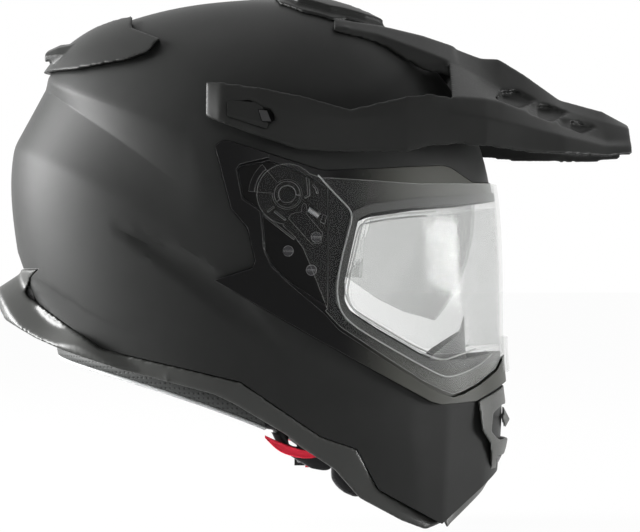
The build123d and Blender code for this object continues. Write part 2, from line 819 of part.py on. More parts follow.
def between(stations, x):
    """Cross section at a share of the length, between the two stations next to it."""
    for one, two in zip(stations, stations[1:]):
        if one[0] <= x <= two[0]:
            t = (x - one[0]) / (two[0] - one[0])
            return (
                x, [(a[0] + (b[0] - a[0]) * t, a[1] + (b[1] - a[1]) * t) for a, b in zip(one[1], two[1])]
            )


def louvre_blade(first, last):
    """Slanted plate under one opening, deep at the back and level with the skin at the front."""
    with BuildPart() as solid:
        for x, depth in ((first, louvre_sink), (last, peak_wall - blade_wall / 2)):
            section = between(brim_stations, x)
            flat = (x, section[1][1:5])
            plane = Plane((x * shell_length, 0, 0), x_dir=(0, -1, 0), z_dir=(-1, 0, 0))
            with BuildSketch(plane):
                with BuildLine():
                    Polyline(*skin_section(flat, depth, depth + blade_wall), close=True)
                make_face()
        loft(ruled=True)
    return solid.part


# Feet that carry the peak: one under each rear end of the top arms, one behind each side cover
foot_depth = 8.0
arm_foot_shares = [(0.095, 0.440), (0.125, 0.430), (0.125, 0.485), (0.095, 0.490)]
arm_foot_low_share, arm_foot_high_share = 0.270, 0.3125
arm_foot = cut(
    plan_side_prism(
        arm_foot_shares, arm_foot_low_share * shell_height, arm_foot_high_share * shell_height
    ), convex(0.0)
)
side_foot_at = (-23.0, 50.0)
side_foot = cut(
    common(
        skin_loft(side_stations[:4], door_depth + clearance, foot_depth * 2),
        right_disc(side_foot_at, pin_radius * 2, 0, far_out),
    ),
    convex(0.0),
)
side_skin = skin_loft(side_stations)
arm_skin = cut(skin_loft(arm_stations), convex(0.0))
brim_skin = cut(skin_loft(brim_stations), *[side_prism(grid(shares)) for shares in louvre_shares])
blades = [blade for shares in louvre_blade_shares for blade in both_sides(louvre_blade(*shares))]
door_pocket = common(
    skin_loft(side_stations[:4], -overrun / shell_width, door_depth + clearance),
    side_prism(grid(door_shares)),
)
latch_slot = grown_prism(latch_slot_shares, clearance)
with BuildPart() as peak:
    add(brim_skin)
    add(both_sides(side_skin))
    add(both_sides(arm_skin))
    add(blades)
    add(both_sides(arm_foot))
    add(both_sides(side_foot))
    add(both_sides(door_pocket), mode=Mode.SUBTRACT)
    add(latch_slot, mode=Mode.SUBTRACT)
    add(both_sides(right_disc(side_foot_at, pin_radius, 0, far_out)), mode=Mode.SUBTRACT)
save(peak.part, "peak")

# Screws behind the covers, which hold the peak's side arms to the shell
screw_seat = skin_loft(side_stations[:4], door_depth + clearance * 2, door_depth + clearance * 2 + pin_head)
with BuildPart() as peak_screws:
    add(both_sides(cut(
        joined(
            common(right_disc(side_foot_at, pin_radius - clearance, 0, far_out), screw_seat),
            right_disc(
                side_foot_at, screw_shank, shell_width / 2 * side_stations[0][1][2][0] - pin_radius,
                pin_radius,
            ),
        ),
        convex(0.0),
    )))
save(peak_screws.part, "peak_screws")

# Covers of the peak's side screws, each with a small sliding latch in its front edge
side_cover = cut(
    common(skin_loft(side_stations[:4], 0.0, door_depth), grown_prism(door_shares, -door_gap)),
    latch_slot,
)
save_pair(
    common(side_cover, right_plate(grid([(-0.3, 0), (0.3, 0), (0.3, 0.4), (-0.3, 0.4)]), 0, far_out)),
    "peak_side_cover",
)
latch = common(
    skin_loft(side_stations[:4], -latch_proud, peak_wall - clearance), side_prism(grid(latch_shares))
)
save_pair(latch, "peak_latch")

# Top vent: a low housing with two ridges and a slider in the channel between them
vent_plan_shares = [
    (-0.028, 0), (-0.028, 0.14), (-0.018, 0.30), (0.030, 0.39), (0.092, 0.40), (0.120, 0.33), (0.165, 0.30),
    (0.205, 0.18), (0.217, 0),
]
ridge_plan_shares = [
    (-0.012, 0.17), (0.020, 0.30), (0.085, 0.33), (0.160, 0.25), (0.200, 0.15), (0.150, 0.15), (0.060, 0.16)
]
channel_plan_shares = [(0.062, 0), (0.062, 0.135), (0.205, 0.125), (0.205, 0)]
slider_plan_shares = [(0.092, 0), (0.092, 0.105), (0.178, 0.105), (0.178, 0)]
fin_shares = [0.128, 0.148, 0.168]
vent_floor_share = 0.25
vent_top_share = 0.50
vent_low, vent_high = vent_floor_share * shell_height, vent_top_share * shell_height


vent_plan = plan_prism(vent_plan_shares, vent_low, vent_high)
ridge_plans = both_sides(plan_side_prism(ridge_plan_shares, vent_low, vent_high))
with BuildPart() as top_vent_housing:
    add(cut(common(convex(vent_rise), vent_plan), convex(0.0)))
    add([cut(common(convex(ridge_rise), plan), convex(0.0)) for plan in ridge_plans])
    add(
        cut(plan_prism(channel_plan_shares, vent_low, vent_high), convex(clearance * 2)), mode=Mode.SUBTRACT
    )
save(top_vent_housing.part, "top_vent_housing")

fins = []
for share in fin_shares:
    start = share * shell_length
    with BuildPart() as fin:
        with BuildSketch(Plane.XY.offset(vent_low)):
            with Locations((start, 0)):
                Rectangle(fin_width, slider_plan_shares[1][1] * shell_width)
        extrude(amount=vent_high - vent_low)
    fins.append(fin.part)
with BuildPart() as top_vent_slider:
    add(common(convex(fin_rise), plan_prism(slider_plan_shares, vent_low, vent_high)))
    add(
        cut(plan_prism(slider_plan_shares, vent_low, vent_high), convex(slider_rise), *fins),
        mode=Mode.SUBTRACT,
    )
    add(convex(slider_gap), mode=Mode.SUBTRACT)
save(top_vent_slider.part, "top_vent_slider")

# Rear spoiler: a leaf on each side that runs together into a short tail
leaf_shares = [
    (-0.262, 0.288), (-0.285, 0.262), (-0.330, 0.248), (-0.394, 0.240), (-0.440, 0.234), (-0.600, 0.234),
    (-0.600, 0.400), (-0.324, 0.400), (-0.324, 0.312),
]
saddle_plan_shares = [
    (-0.392, 0), (-0.396, 0.10), (-0.328, 0.236), (-0.255, 0.50), (-0.200, 0.60), (-0.200, 1), (-0.700, 1),
    (-0.700, 0),
]
tail_stations = [
    (-0.400, [(0.300, 0.278), (0.220, 0.306), (0, 0.314)]),
    (-0.457, [(0.250, 0.268), (0.200, 0.283), (0, 0.291)]),
    (-0.480, [(0.220, 0.266), (0.170, 0.280), (0, 0.289)]),
    (-0.509, [(0.170, 0.265), (0.140, 0.270), (0, 0.277)]),
]
tail_wall_share = 0.014
tail_sections = [
    (x, points + [(y, z - tail_wall_share) for y, z in reversed(points)]) for x, points in tail_stations
]


def full_loft(stations):
    """Solid through closed half outlines, each from the right round to the plane of symmetry."""
    with BuildPart() as solid:
        for x, points in stations:
            half = [(y * shell_width / 2, z * shell_height) for y, z in points]
            count = len(half) // 2
            upper, lower = half[:count], half[count:]
            ring = upper + [(-y, z) for y, z in reversed(upper) if y > 0]
            ring += [(-y, z) for y, z in reversed(lower) if y > 0] + lower
            with BuildSketch(Plane((x * shell_length, 0, 0), x_dir=(0, -1, 0), z_dir=(-1, 0, 0))):
                with BuildLine():
                    Polyline(*ring, close=True)
                make_face()
        loft(ruled=True)
    return solid.part


with BuildPart() as rear_spoiler:
    add(cut(convex(spoiler_rise), convex(0.0)))
    add(side_prism(grid(leaf_shares)), mode=Mode.INTERSECT)
    add(plan_prism(saddle_plan_shares, 0, shell_height), mode=Mode.INTERSECT)
    add(cut(full_loft(tail_sections), convex(0.0)))
save(rear_spoiler.part, "rear_spoiler")

# Chin vent: housing over the front of the chin, a pointed slider and a grille below it
chin_edge_shares = [
    (0.389, -0.378), (0.391, -0.382), (0.393, -0.393), (0.398, -0.431), (0.418, -0.460), (0.419, -0.506),
    (0.403, -0.525), (0.320, -0.600), (0.326, -0.613), (0.700, -0.613), (0.700, -0.376), (0.452, -0.352),
]
chin_window_shares = [
    (0.700, -0.388), (0.447, -0.388), (0.424, -0.402), (0.420, -0.436), (0.436, -0.452), (0.700, -0.452),
]
mesh_window_shares = [(0.700, -0.484), (0.433, -0.484), (0.433, -0.516), (0.426, -0.522), (0.700, -0.522)]
chin_zone = grown_prism(chin_edge_shares, -seam / 2)
chin_window = side_prism(grid(chin_window_shares))
mesh_window = side_prism(grid(mesh_window_shares))
slope_out = [(0.316, -0.604), (0.436, -0.514), (0.443, -0.524), (0.323, -0.614)]
with BuildPart() as chin_vent_housing:
    add(cut(convex(chin_rise), convex(0.0), chin_slope))
    add(common(convex(chin_rise), grown_prism(slope_out, 0)))
    add(chin_zone, mode=Mode.INTERSECT)
    add([chin_window, mesh_window], mode=Mode.SUBTRACT)
save(chin_vent_housing.part, "chin_vent_housing")

# Slider: a faceted point with its low faces in the housing's window
point_rows = [
    ((0.450, -0.393), 0.06), ((0.436, -0.409), 0.235), ((0.434, -0.434), 0.235), ((0.444, -0.448), 0.10),
]
apex_share = (0.465, -0.418)
slider_root_share = 0.400


def prow(rows, apex, root):
    """Solid with flat facets that rise from an outline to one point on the plane of symmetry."""
    rim = [(Vector(x * shell_length, -y * shell_width / 2, z * shell_height)) for (x, z), y in rows]
    rim += [Vector(p.X, -p.Y, p.Z) for p in reversed(rim)]
    foot = [Vector(root * shell_length, p.Y, p.Z) for p in rim]
    tip = Vector(apex[0] * shell_length, 0, apex[1] * shell_height)
    faces = [Face(Wire.make_polygon([one, two, tip])) for one, two in zip(rim, rim[1:] + rim[:1])]
    faces += [
        Face(Wire.make_polygon([one, two, far, near]))
        for one, two, far, near in zip(rim, rim[1:] + rim[:1], foot[1:] + foot[:1], foot)
    ]
    faces.append(Face(Wire.make_polygon(foot)))
    return Solid(Shell(faces))


chin_vent_slider = Part() + prow(point_rows, apex_share, slider_root_share)
chin_vent_slider = cut(chin_vent_slider, convex(clearance))
save(chin_vent_slider, "chin_vent_slider")

with BuildPart() as chin_vent_grille:
    add(cut(convex(grille_rise), convex(0.0), chin_slope))
    add(grown_prism(mesh_window_shares, -clearance), mode=Mode.INTERSECT)
save(chin_vent_grille.part, "chin_vent_grille")

# Head cavity of the lining: level ellipses as height, length and half width of the opening
cavity_centre_share = -0.069
cavity_rows = [
    (0.240, 0.065, 0.130), (0.225, 0.150, 0.280), (0.180, 0.235, 0.460),
    (0.110, 0.300, 0.600), (0.030, 0.335, 0.665),
    (-0.060, 0.345, 0.680), (-0.170, 0.330, 0.665), (-0.300, 0.320, 0.650), (-0.450, 0.310, 0.640),
    (-0.620, 0.300, 0.630),
]


@lru_cache(maxsize=None)
def cavity(grow):
    """Room for the head, grown by a distance."""
    with BuildPart() as solid:
        for z, length, half in cavity_rows:
            with BuildSketch(Plane((cavity_centre_share * shell_length, 0, z * shell_height + grow))):
                Ellipse(length * shell_length + grow, half * shell_width / 2 + grow)
        loft()
    return solid.part


# Sun visor: a shell of revolution about an axis that lies a little behind and below the main pivots
sun_pivot = (3.8, -7.7)
sun_crown_share, sun_side_share, sun_end_share = 1.0, 0.715, 0.430
sun_side_reach_share, sun_end_reach_share = 0.712, 0.904


def sun_band(outer, inner):
    """Revolved band of the sun visor between two distances off its outer face."""
    crown, side, end = [share * sun_radius for share in (sun_crown_share, sun_side_share, sun_end_share)]
    side_reach, end_reach = sun_side_reach_share * sun_radius, sun_end_reach_share * sun_radius
    with BuildPart() as solid:
        with BuildSketch(Plane.XY):
            with BuildLine():
                for shift in (outer, inner):
                    ThreePointArc(
                        (side + shift, -side_reach), (crown + shift, 0), (side + shift, side_reach)
                    )
                    for way in (-1, 1):
                        Line((side + shift, way * side_reach), (end + shift, way * end_reach))
                for way in (-1, 1):
                    Line((end + outer, way * end_reach), (end + inner, way * end_reach))
            make_face()
        revolve(axis=Axis.Y)
    return solid.part.moved(Location((sun_pivot[0], 0, sun_pivot[1])))


sun_lens_shares = [
    (0.100, 0.050), (0.100, -0.135), (0.120, -0.149), (0.189, -0.192), (0.239, -0.214), (0.283, -0.225),
    (0.305, -0.231), (0.322, -0.214), (0.358, -0.163), (0.381, -0.102), (0.400, -0.044), (0.440, 0.050),
]
sun_arm_shares = [
    (-0.012, -0.018), (-0.004, -0.040), (0.012, -0.049), (0.120, -0.149), (0.150, -0.150), (0.165, 0.050),
    (0.120, 0.050), (0.020, 0.001), (-0.004, -0.004),
]
sun_arm = cut(
    joined(
        right_plate(grid(sun_arm_shares), sun_arm_inner, sun_wall),
        right_disc(sun_pivot, sun_hub, sun_arm_inner, sun_wall),
    ),
    right_disc(sun_pivot, sun_pin + running_fit, sun_arm_inner, sun_wall),
)
sun_lens = common(sun_band(0, -sun_wall), side_prism(grid(sun_lens_shares)))
with BuildPart() as sun_visor:
    add(sun_lens)
    add(both_sides(sun_arm))
save(sun_visor.part, "sun_visor")

strap_x = 15.0
strap_room_inner = 76.0
strap_room_points = [(2.5, -90.0), (27.5, -90.0), (27.5, -180.0), (2.5, -180.0)]

# Energy-absorbing liner with the head cavity, the eyeport and the slot for the sun visor
below_shares = [(-0.800, -0.134)] + base_line_shares + [(0.700, -0.316), (0.700, -0.800), (-0.800, -0.800)]
face_shares = [
    (0.115, -0.040), (0.115, -0.300), (0.060, -0.420), (0.060, -0.800),
    (0.700, -0.800), (0.700, 0.000), (0.150, -0.020),
]
slot_sweep_shares = [(0.010, -0.010), (0.700, -0.420), (0.700, 0.420), (0.080, 0.420), (0.010, 0.100)]
cup_room = both_sides(
    grown_prism(window_shares, recess_wall + clearance, recess_floor - recess_wall - clearance, far_out)
)
arm_room = right_disc(
    sun_pivot, sun_radius * sun_end_share + sun_hub, sun_arm_inner - slot_gap, sun_wall + slot_gap * 2
)
strap_room = right_plate(strap_room_points, strap_room_inner, far_out - strap_room_inner)
pin_room = right_disc(
    sun_pivot, sun_pin + slot_gap, sun_arm_inner, recess_floor - recess_wall - sun_arm_inner
)
slot_room = common(sun_band(slot_gap, -sun_wall - slot_gap), side_prism(grid(slot_sweep_shares)))
with BuildPart() as impact_liner:
    add(shouldered(-shell_wall - liner_gap))
    add(cavity(0.0), mode=Mode.SUBTRACT)
    add([
        grown_prism(below_shares, liner_margin), side_prism(grid(face_shares)), *cup_room, slot_room,
        *both_sides(arm_room), *both_sides(pin_room), *both_sides(strap_room),
    ], mode=Mode.SUBTRACT)

# It is moulded in three: a crown cap and two halves that meet behind the head
liner_split_share = 0.150
split_height = liner_split_share * shell_height


def liner_block(low, high, near, far):
    """Block that holds one moulding of the liner."""
    with BuildPart() as solid:
        with BuildSketch(Plane.XY.offset(low)):
            with Locations((0, (near + far) / 2)):
                Rectangle(shell_length * 2, far - near)
        extrude(amount=high - low)
    return solid.part


save(
    common(
        impact_liner.part,
        liner_block(split_height + liner_seam / 2, shell_height, -shell_width, shell_width),
    ),
    "impact_liner_crown",
)
liner_half = liner_block(-shell_height, split_height - liner_seam / 2, -shell_width, -liner_seam / 2)
save_pair(common(impact_liner.part, liner_half), "impact_liner")

# Pins that carry the sun visor, fixed to the back of each recess
sun_pins = right_disc(
    sun_pivot, sun_pin, sun_arm_inner - slot_gap / 2,
    recess_floor - recess_wall - sun_arm_inner + slot_gap / 2,
)
with BuildPart() as sun_visor_pins:
    add(both_sides(sun_pins))
save(sun_visor_pins.part, "sun_visor_pins")

# Lining of the chin bar, with the breath guard on its inner face and the curtain below
chin_liner_shares = [
    (0.125, -0.262), (0.188, -0.285), (0.289, -0.330), (0.700, -0.330),
    (0.700, -0.560), (0.106, -0.560), (0.106, -0.350), (0.125, -0.310),
]
curtain_shares = [(0.175, -0.563), (0.318, -0.592), (0.318, -0.585), (0.175, -0.556)]
with BuildPart() as chin_liner:
    add(convex(-shell_wall - liner_gap))
    add(convex(-shell_wall - chin_liner_wall), mode=Mode.SUBTRACT)
    add(side_prism(grid(chin_liner_shares)), mode=Mode.INTERSECT)
    add([
        grown_prism(below_shares, liner_margin), grown_prism(chin_slope_shares, chin_lip),
        grown_prism(curtain_shares, liner_margin),
    ], mode=Mode.SUBTRACT)
save(chin_liner.part, "chin_liner")

guard_shares = [
    (0.372, -0.210), (0.361, -0.252), (0.303, -0.289), (0.285, -0.304),
    (0.285, -0.350), (0.480, -0.350), (0.480, -0.210),
]
guard_depth = shell_wall + chin_liner_wall + clearance
with BuildPart() as breath_guard:
    add(convex(-guard_depth))
    add(convex(-guard_depth - sun_wall), mode=Mode.SUBTRACT)
    add(side_prism(grid(guard_shares)), mode=Mode.INTERSECT)
save(breath_guard.part, "breath_guard")

with BuildPart() as chin_curtain:
    add(side_prism(grid(curtain_shares)))
    add(convex(-trim_wall - pad_gap), mode=Mode.INTERSECT)
save(chin_curtain.part, "chin_curtain")

# Crown pad and cheek pads
crown_low_share = 0.060
with BuildPart() as crown_pad:
    add(cavity(-pad_gap))
    add(cavity(-pad_gap - crown_pad_wall), mode=Mode.SUBTRACT)
    add(
        plan_prism([(-1, 0), (-1, 1), (1, 1), (1, 0)], crown_low_share * shell_height, shell_height),
        mode=Mode.INTERSECT,
    )
save(crown_pad.part, "crown_pad")

cheek_shares = [
    (-0.190, -0.130), (-0.190, -0.345), (-0.150, -0.375), (0.000, -0.446), (0.098, -0.446), (0.100, -0.515),
    (0.118, -0.544), (0.145, -0.554), (0.170, -0.520), (0.172, -0.330), (0.120, -0.200), (0.020, -0.130),
]
cheek_pad = common(
    right_plate(grid(cheek_shares), cheek_inner, far_out - cheek_inner, roll_radius / 4), cavity(-pad_gap)
)
save_pair(cheek_pad, "cheek_pad")

tab_shares = [
    (-0.046, -0.440), (-0.026, -0.459), (-0.003, -0.471), (0.033, -0.478),
    (0.060, -0.475), (0.058, -0.466), (0.020, -0.436),
]
tab_near = 88.6
tab_wall = 1.2
tab_web_shares = [(-0.038, -0.436), (-0.004, -0.436), (-0.004, -0.442), (-0.038, -0.442)]
cheek_tab = cut(
    joined(
        right_plate(grid(tab_shares), tab_near, tab_wall),
        right_plate(grid(tab_web_shares), cheek_inner, tab_near - cheek_inner),
    ),
    cavity(-pad_gap),
)
save_pair(cheek_tab, "cheek_pad_tab")

# Neck roll round the back, inside the base trim
roll_turn = 96.0
roll_line = falling_line(-0.300, -0.435, roll_turn, 1.6)
roll_height_shares = (0.034, 0.042)
roll_width_shares = (0.145, 0.095)
roll_corner_share = 0.3


def roll_outline(turn):
    """Rounded section of the neck roll, flat on its underside."""
    low = roll_line(turn)
    t = (turn / roll_turn) ** 2
    high = low + (
        roll_height_shares[0] + (roll_height_shares[1] - roll_height_shares[0]) * t
    ) * shell_height
    outer = reach_at(turn, low, -trim_wall - pad_gap)
    wide = (roll_width_shares[0] + (roll_width_shares[1] - roll_width_shares[0]) * t) * shell_width / 2
    inset = roll_corner_share * (high - low)
    inner = outer - wide
    return [
        (outer - inset, low), (outer, low + inset), (outer, high - inset), (outer - inset, high),
        (inner + inset, high), (inner, high - inset), (inner, low + inset), (inner + inset, low),
    ]


neck_roll = ring_loft(spread_turns(roll_turn, 6), roll_outline)
save(neck_roll, "neck_roll")

# Chin strap: a band on each side from its anchor to the buckle under the chin
strap_path = [
    (101.5, -97.0), (99.8, -112.0), (86.0, -136.0), (79.0, -150.0), (62.0, -156.5), (15.1, -160.0)
]
anchor_at = (15.0, -104.0)
anchor_radius = 7.0
anchor_near = 103.0


def strap_band(path, wall, width):
    """Band along a path of (distance, height) points on the right, square to the front view."""
    with BuildPart() as solid:
        with BuildSketch(Plane.YZ.offset(strap_x - width / 2)):
            with BuildLine():
                FilletPolyline(*[(-y, z) for y, z in path], radius=strap_width / 4)
            trace(line_width=wall)
        extrude(amount=width)
    return solid.part


chin_strap = strap_band(strap_path, strap_wall, strap_width)
save_pair(chin_strap, "chin_strap")
anchor = common(
    right_disc(anchor_at, anchor_radius, anchor_near, far_out - anchor_near), convex(-shell_wall)
)
with BuildPart() as strap_anchors:
    add(both_sides(anchor))
save(strap_anchors.part, "strap_anchors")

# Buckle: a receiver on the left strap, a toothed ladder on the right strap and a release lever
buckle_z = -160.0
buckle_wall = 1.6
ladder_wall = 2.4
ladder_teeth = 6
tooth = 1.2
receiver_reach = (-4.0, 15.0)
ladder_reach = (-15.0, 12.0)
lever_reach = (-7.0, 10.0)
lever_wall = 2.0
buckle_width = strap_width + buckle_wall * 2


def buckle_block(reach, low, high, width):
    """Block across the buckle between two distances and two heights."""
    with BuildPart() as solid:
        with BuildSketch(Plane.XY.offset(low)):
            with Locations((strap_x, (reach[0] + reach[1]) / 2)):
                Rectangle(width, reach[1] - reach[0])
        extrude(amount=high - low)
    return solid.part


ladder_low = buckle_z - ladder_wall / 2
ladder_high = buckle_z + ladder_wall / 2
channel = buckle_block(
    (receiver_reach[0], receiver_reach[1] - buckle_wall), ladder_low - clearance, ladder_high + clearance,
    strap_width + clearance,
)
receiver_low = ladder_low - clearance - buckle_wall
receiver_high = ladder_high + clearance + buckle_wall
lever_window = buckle_block(
    (lever_reach[0], lever_reach[1] + clearance), receiver_low, ladder_low, strap_width / 2 + clearance * 2
)
save(
    cut(buckle_block(receiver_reach, receiver_low, receiver_high, buckle_width), channel, lever_window),
    "buckle_receiver",
)
pitch = (ladder_reach[1] - receiver_reach[0]) / ladder_teeth
teeth = [
    buckle_block(
        (receiver_reach[0] + pitch * i + tooth / 2, receiver_reach[0] + pitch * i + tooth * 3 / 2),
        ladder_low, ladder_low + tooth, strap_width,
    )
    for i in range(ladder_teeth)
]
save(
    cut(buckle_block(ladder_reach, ladder_low, ladder_high, strap_width - clearance), *teeth),
    "buckle_ladder",
)
save(
    buckle_block(
        lever_reach, receiver_low - lever_wall / 2, ladder_low - clearance - tooth / 4, strap_width / 2
    ),
    "buckle_release_lever",
)

# Lever of the sun visor on the left side of the trim, with its stem in a slot
lever_knob_shares = [
    (-0.150, -0.337), (-0.140, -0.329), (-0.086, -0.347), (-0.088, -0.358), (-0.098, -0.362),
    (-0.148, -0.347),
]
knob = common(
    cut(convex(trim_proud + pad_gap + lever_plate * 2), convex(trim_proud + pad_gap)),
    right_plate(grid(lever_knob_shares), cheek_inner, far_out - cheek_inner),
)
save(mirror(knob, about=Plane.XZ), "sun_visor_lever")
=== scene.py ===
from math import cos, exp, hypot, pi, radians, sin, sqrt

import bpy
import numpy as np
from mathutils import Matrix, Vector


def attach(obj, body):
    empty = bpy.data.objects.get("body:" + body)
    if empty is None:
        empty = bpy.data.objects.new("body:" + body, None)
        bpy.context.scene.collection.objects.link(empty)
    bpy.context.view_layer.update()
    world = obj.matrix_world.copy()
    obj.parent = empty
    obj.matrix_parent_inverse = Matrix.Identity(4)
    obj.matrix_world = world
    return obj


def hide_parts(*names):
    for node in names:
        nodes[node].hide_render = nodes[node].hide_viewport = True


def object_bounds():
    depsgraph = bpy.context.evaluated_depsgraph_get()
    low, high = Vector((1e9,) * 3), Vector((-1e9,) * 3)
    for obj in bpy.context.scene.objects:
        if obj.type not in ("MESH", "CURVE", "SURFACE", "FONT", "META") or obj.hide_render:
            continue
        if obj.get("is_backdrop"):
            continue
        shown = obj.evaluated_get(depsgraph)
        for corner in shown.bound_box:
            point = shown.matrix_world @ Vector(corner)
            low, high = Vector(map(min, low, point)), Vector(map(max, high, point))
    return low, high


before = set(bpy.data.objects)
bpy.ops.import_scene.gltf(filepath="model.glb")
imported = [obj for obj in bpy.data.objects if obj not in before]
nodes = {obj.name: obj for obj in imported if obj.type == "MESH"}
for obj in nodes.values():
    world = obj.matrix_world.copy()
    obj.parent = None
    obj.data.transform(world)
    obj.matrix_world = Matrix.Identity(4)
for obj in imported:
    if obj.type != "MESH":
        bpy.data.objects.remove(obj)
cad_low, cad_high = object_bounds()
scene = bpy.context.scene
scene.view_settings.view_transform = "Standard"

# Camera: a long lens that looks along Y at the right side
camera = bpy.data.objects.new("camera", bpy.data.cameras.new("camera"))
scene.collection.objects.link(camera)
camera.location = (0.0190, -2.3, -0.0416)
camera.rotation_euler = (pi / 2, 0, 0)
camera.data.sensor_width = 36
camera.data.lens = 212
scene.camera = camera


def tree_of(owner):
    """Emptied node tree of a material or world, and the call that links its nodes."""
    owner.use_nodes = True
    owner.node_tree.nodes.clear()
    return owner.node_tree, owner.node_tree.links.new


def node(tree, kind, inputs=None, **settings):
    made = tree.nodes.new("ShaderNode" + kind)
    for key, value in settings.items():
        setattr(made, key, value)
    for key, value in (inputs or {}).items():
        made.inputs[key].default_value = value
    return made


def seen_factor(tree):
    """1 for rays of the camera, of reflections and through clear pieces, 0 for other light."""
    link = tree.links.new
    path = node(tree, "LightPath")
    first = node(tree, "Math", operation="MAXIMUM")
    second = node(tree, "Math", operation="MAXIMUM")
    link(path.outputs["Is Camera Ray"], first.inputs[0])
    link(path.outputs["Is Glossy Ray"], first.inputs[1])
    link(first.outputs[0], second.inputs[0])
    link(path.outputs["Is Transmission Ray"], second.inputs[1])
    return second.outputs[0]


def make_world(light):
    """White studio: it is seen as plain white and lights the helmet only by the given strength."""
    world = bpy.data.worlds.new("studio")
    scene.world = world
    tree, link = tree_of(world)
    lit = node(tree, "Background", {"Color": (1, 1, 1, 1), "Strength": light})
    shown = node(tree, "Background", {"Color": (1, 1, 1, 1), "Strength": 1.0})
    mix = node(tree, "MixShader")
    out = node(tree, "OutputWorld")
    link(seen_factor(tree), mix.inputs[0])
    link(lit.outputs[0], mix.inputs[1])
    link(shown.outputs[0], mix.inputs[2])
    link(mix.outputs[0], out.inputs[0])


def area_light(name, place, aim, size, power):
    lamp = bpy.data.lights.new(name, "AREA")
    lamp.shape = "RECTANGLE"
    lamp.size, lamp.size_y = size
    lamp.energy = power
    made = bpy.data.objects.new(name, lamp)
    scene.collection.objects.link(made)
    made.location = place
    made.rotation_euler = (Vector(aim) - Vector(place)).to_track_quat("-Z", "Y").to_euler()


# Enough see-through layers for the visor, the inner lens and the sun visor one behind the other
scene.cycles.transparent_max_bounces = 32
world_light = 0.085
make_world(world_light)
area_light("back_light", (-2.5, 0.45, 0.55), (0, 0, 0.0), (1.8, 2.0), 330)
area_light("front_light", (2.4, -0.1, -0.35), (0.05, 0, -0.08), (1.0, 1.0), 150)
area_light("top_light", (-0.2, 0.6, 2.3), (0, 0, 0), (1.0, 1.0), 4)
area_light("fill_light", (0.6, -2.6, 0.9), (0.03, 0, -0.05), (1.6, 1.2), 6)

floor_half, floor_drop, floor_grain, floor_glow = 20.0, 0.0005, 120.0, 0.975
floor = bpy.data.objects.new("floor", bpy.data.meshes.new("floor"))
scene.collection.objects.link(floor)
floor_corners = [(x * floor_half, y * floor_half, 0) for x, y in ((-1, -1), (1, -1), (1, 1), (-1, 1))]
floor.data.from_pydata(floor_corners, [], [(0, 1, 2, 3)])
floor.location.z = cad_low.z - floor_drop
floor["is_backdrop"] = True


def make_floor_look():
    """White floor that glows for the camera and takes light as a matte one for the rest."""
    mat = bpy.data.materials.new("floor_white")
    tree, link = tree_of(mat)
    coord = node(tree, "TexCoord")
    noise = node(tree, "TexNoise", {"Scale": floor_grain})
    ramp = node(tree, "MapRange", {"To Min": 0.84, "To Max": 0.88})
    tone = node(tree, "CombineColor")
    matte = node(tree, "BsdfDiffuse")
    glow = node(tree, "Emission", {"Color": (1, 1, 1, 1), "Strength": 1.0})
    share = node(tree, "Math", {1: floor_glow}, operation="MULTIPLY")
    mix = node(tree, "MixShader")
    out = node(tree, "OutputMaterial")
    link(coord.outputs["Object"], noise.inputs["Vector"])
    link(noise.outputs[0], ramp.inputs["Value"])
    for channel in range(3):
        link(ramp.outputs[0], tone.inputs[channel])
    link(tone.outputs[0], matte.inputs["Color"])
    link(seen_factor(tree), share.inputs[0])
    link(share.outputs[0], mix.inputs[0])
    link(matte.outputs[0], mix.inputs[1])
    link(glow.outputs[0], mix.inputs[2])
    link(mix.outputs[0], out.inputs[0])
    floor.data.materials.append(mat)


make_floor_look()

# How finely every finish works out its rounded edges
bevel_samples = 8


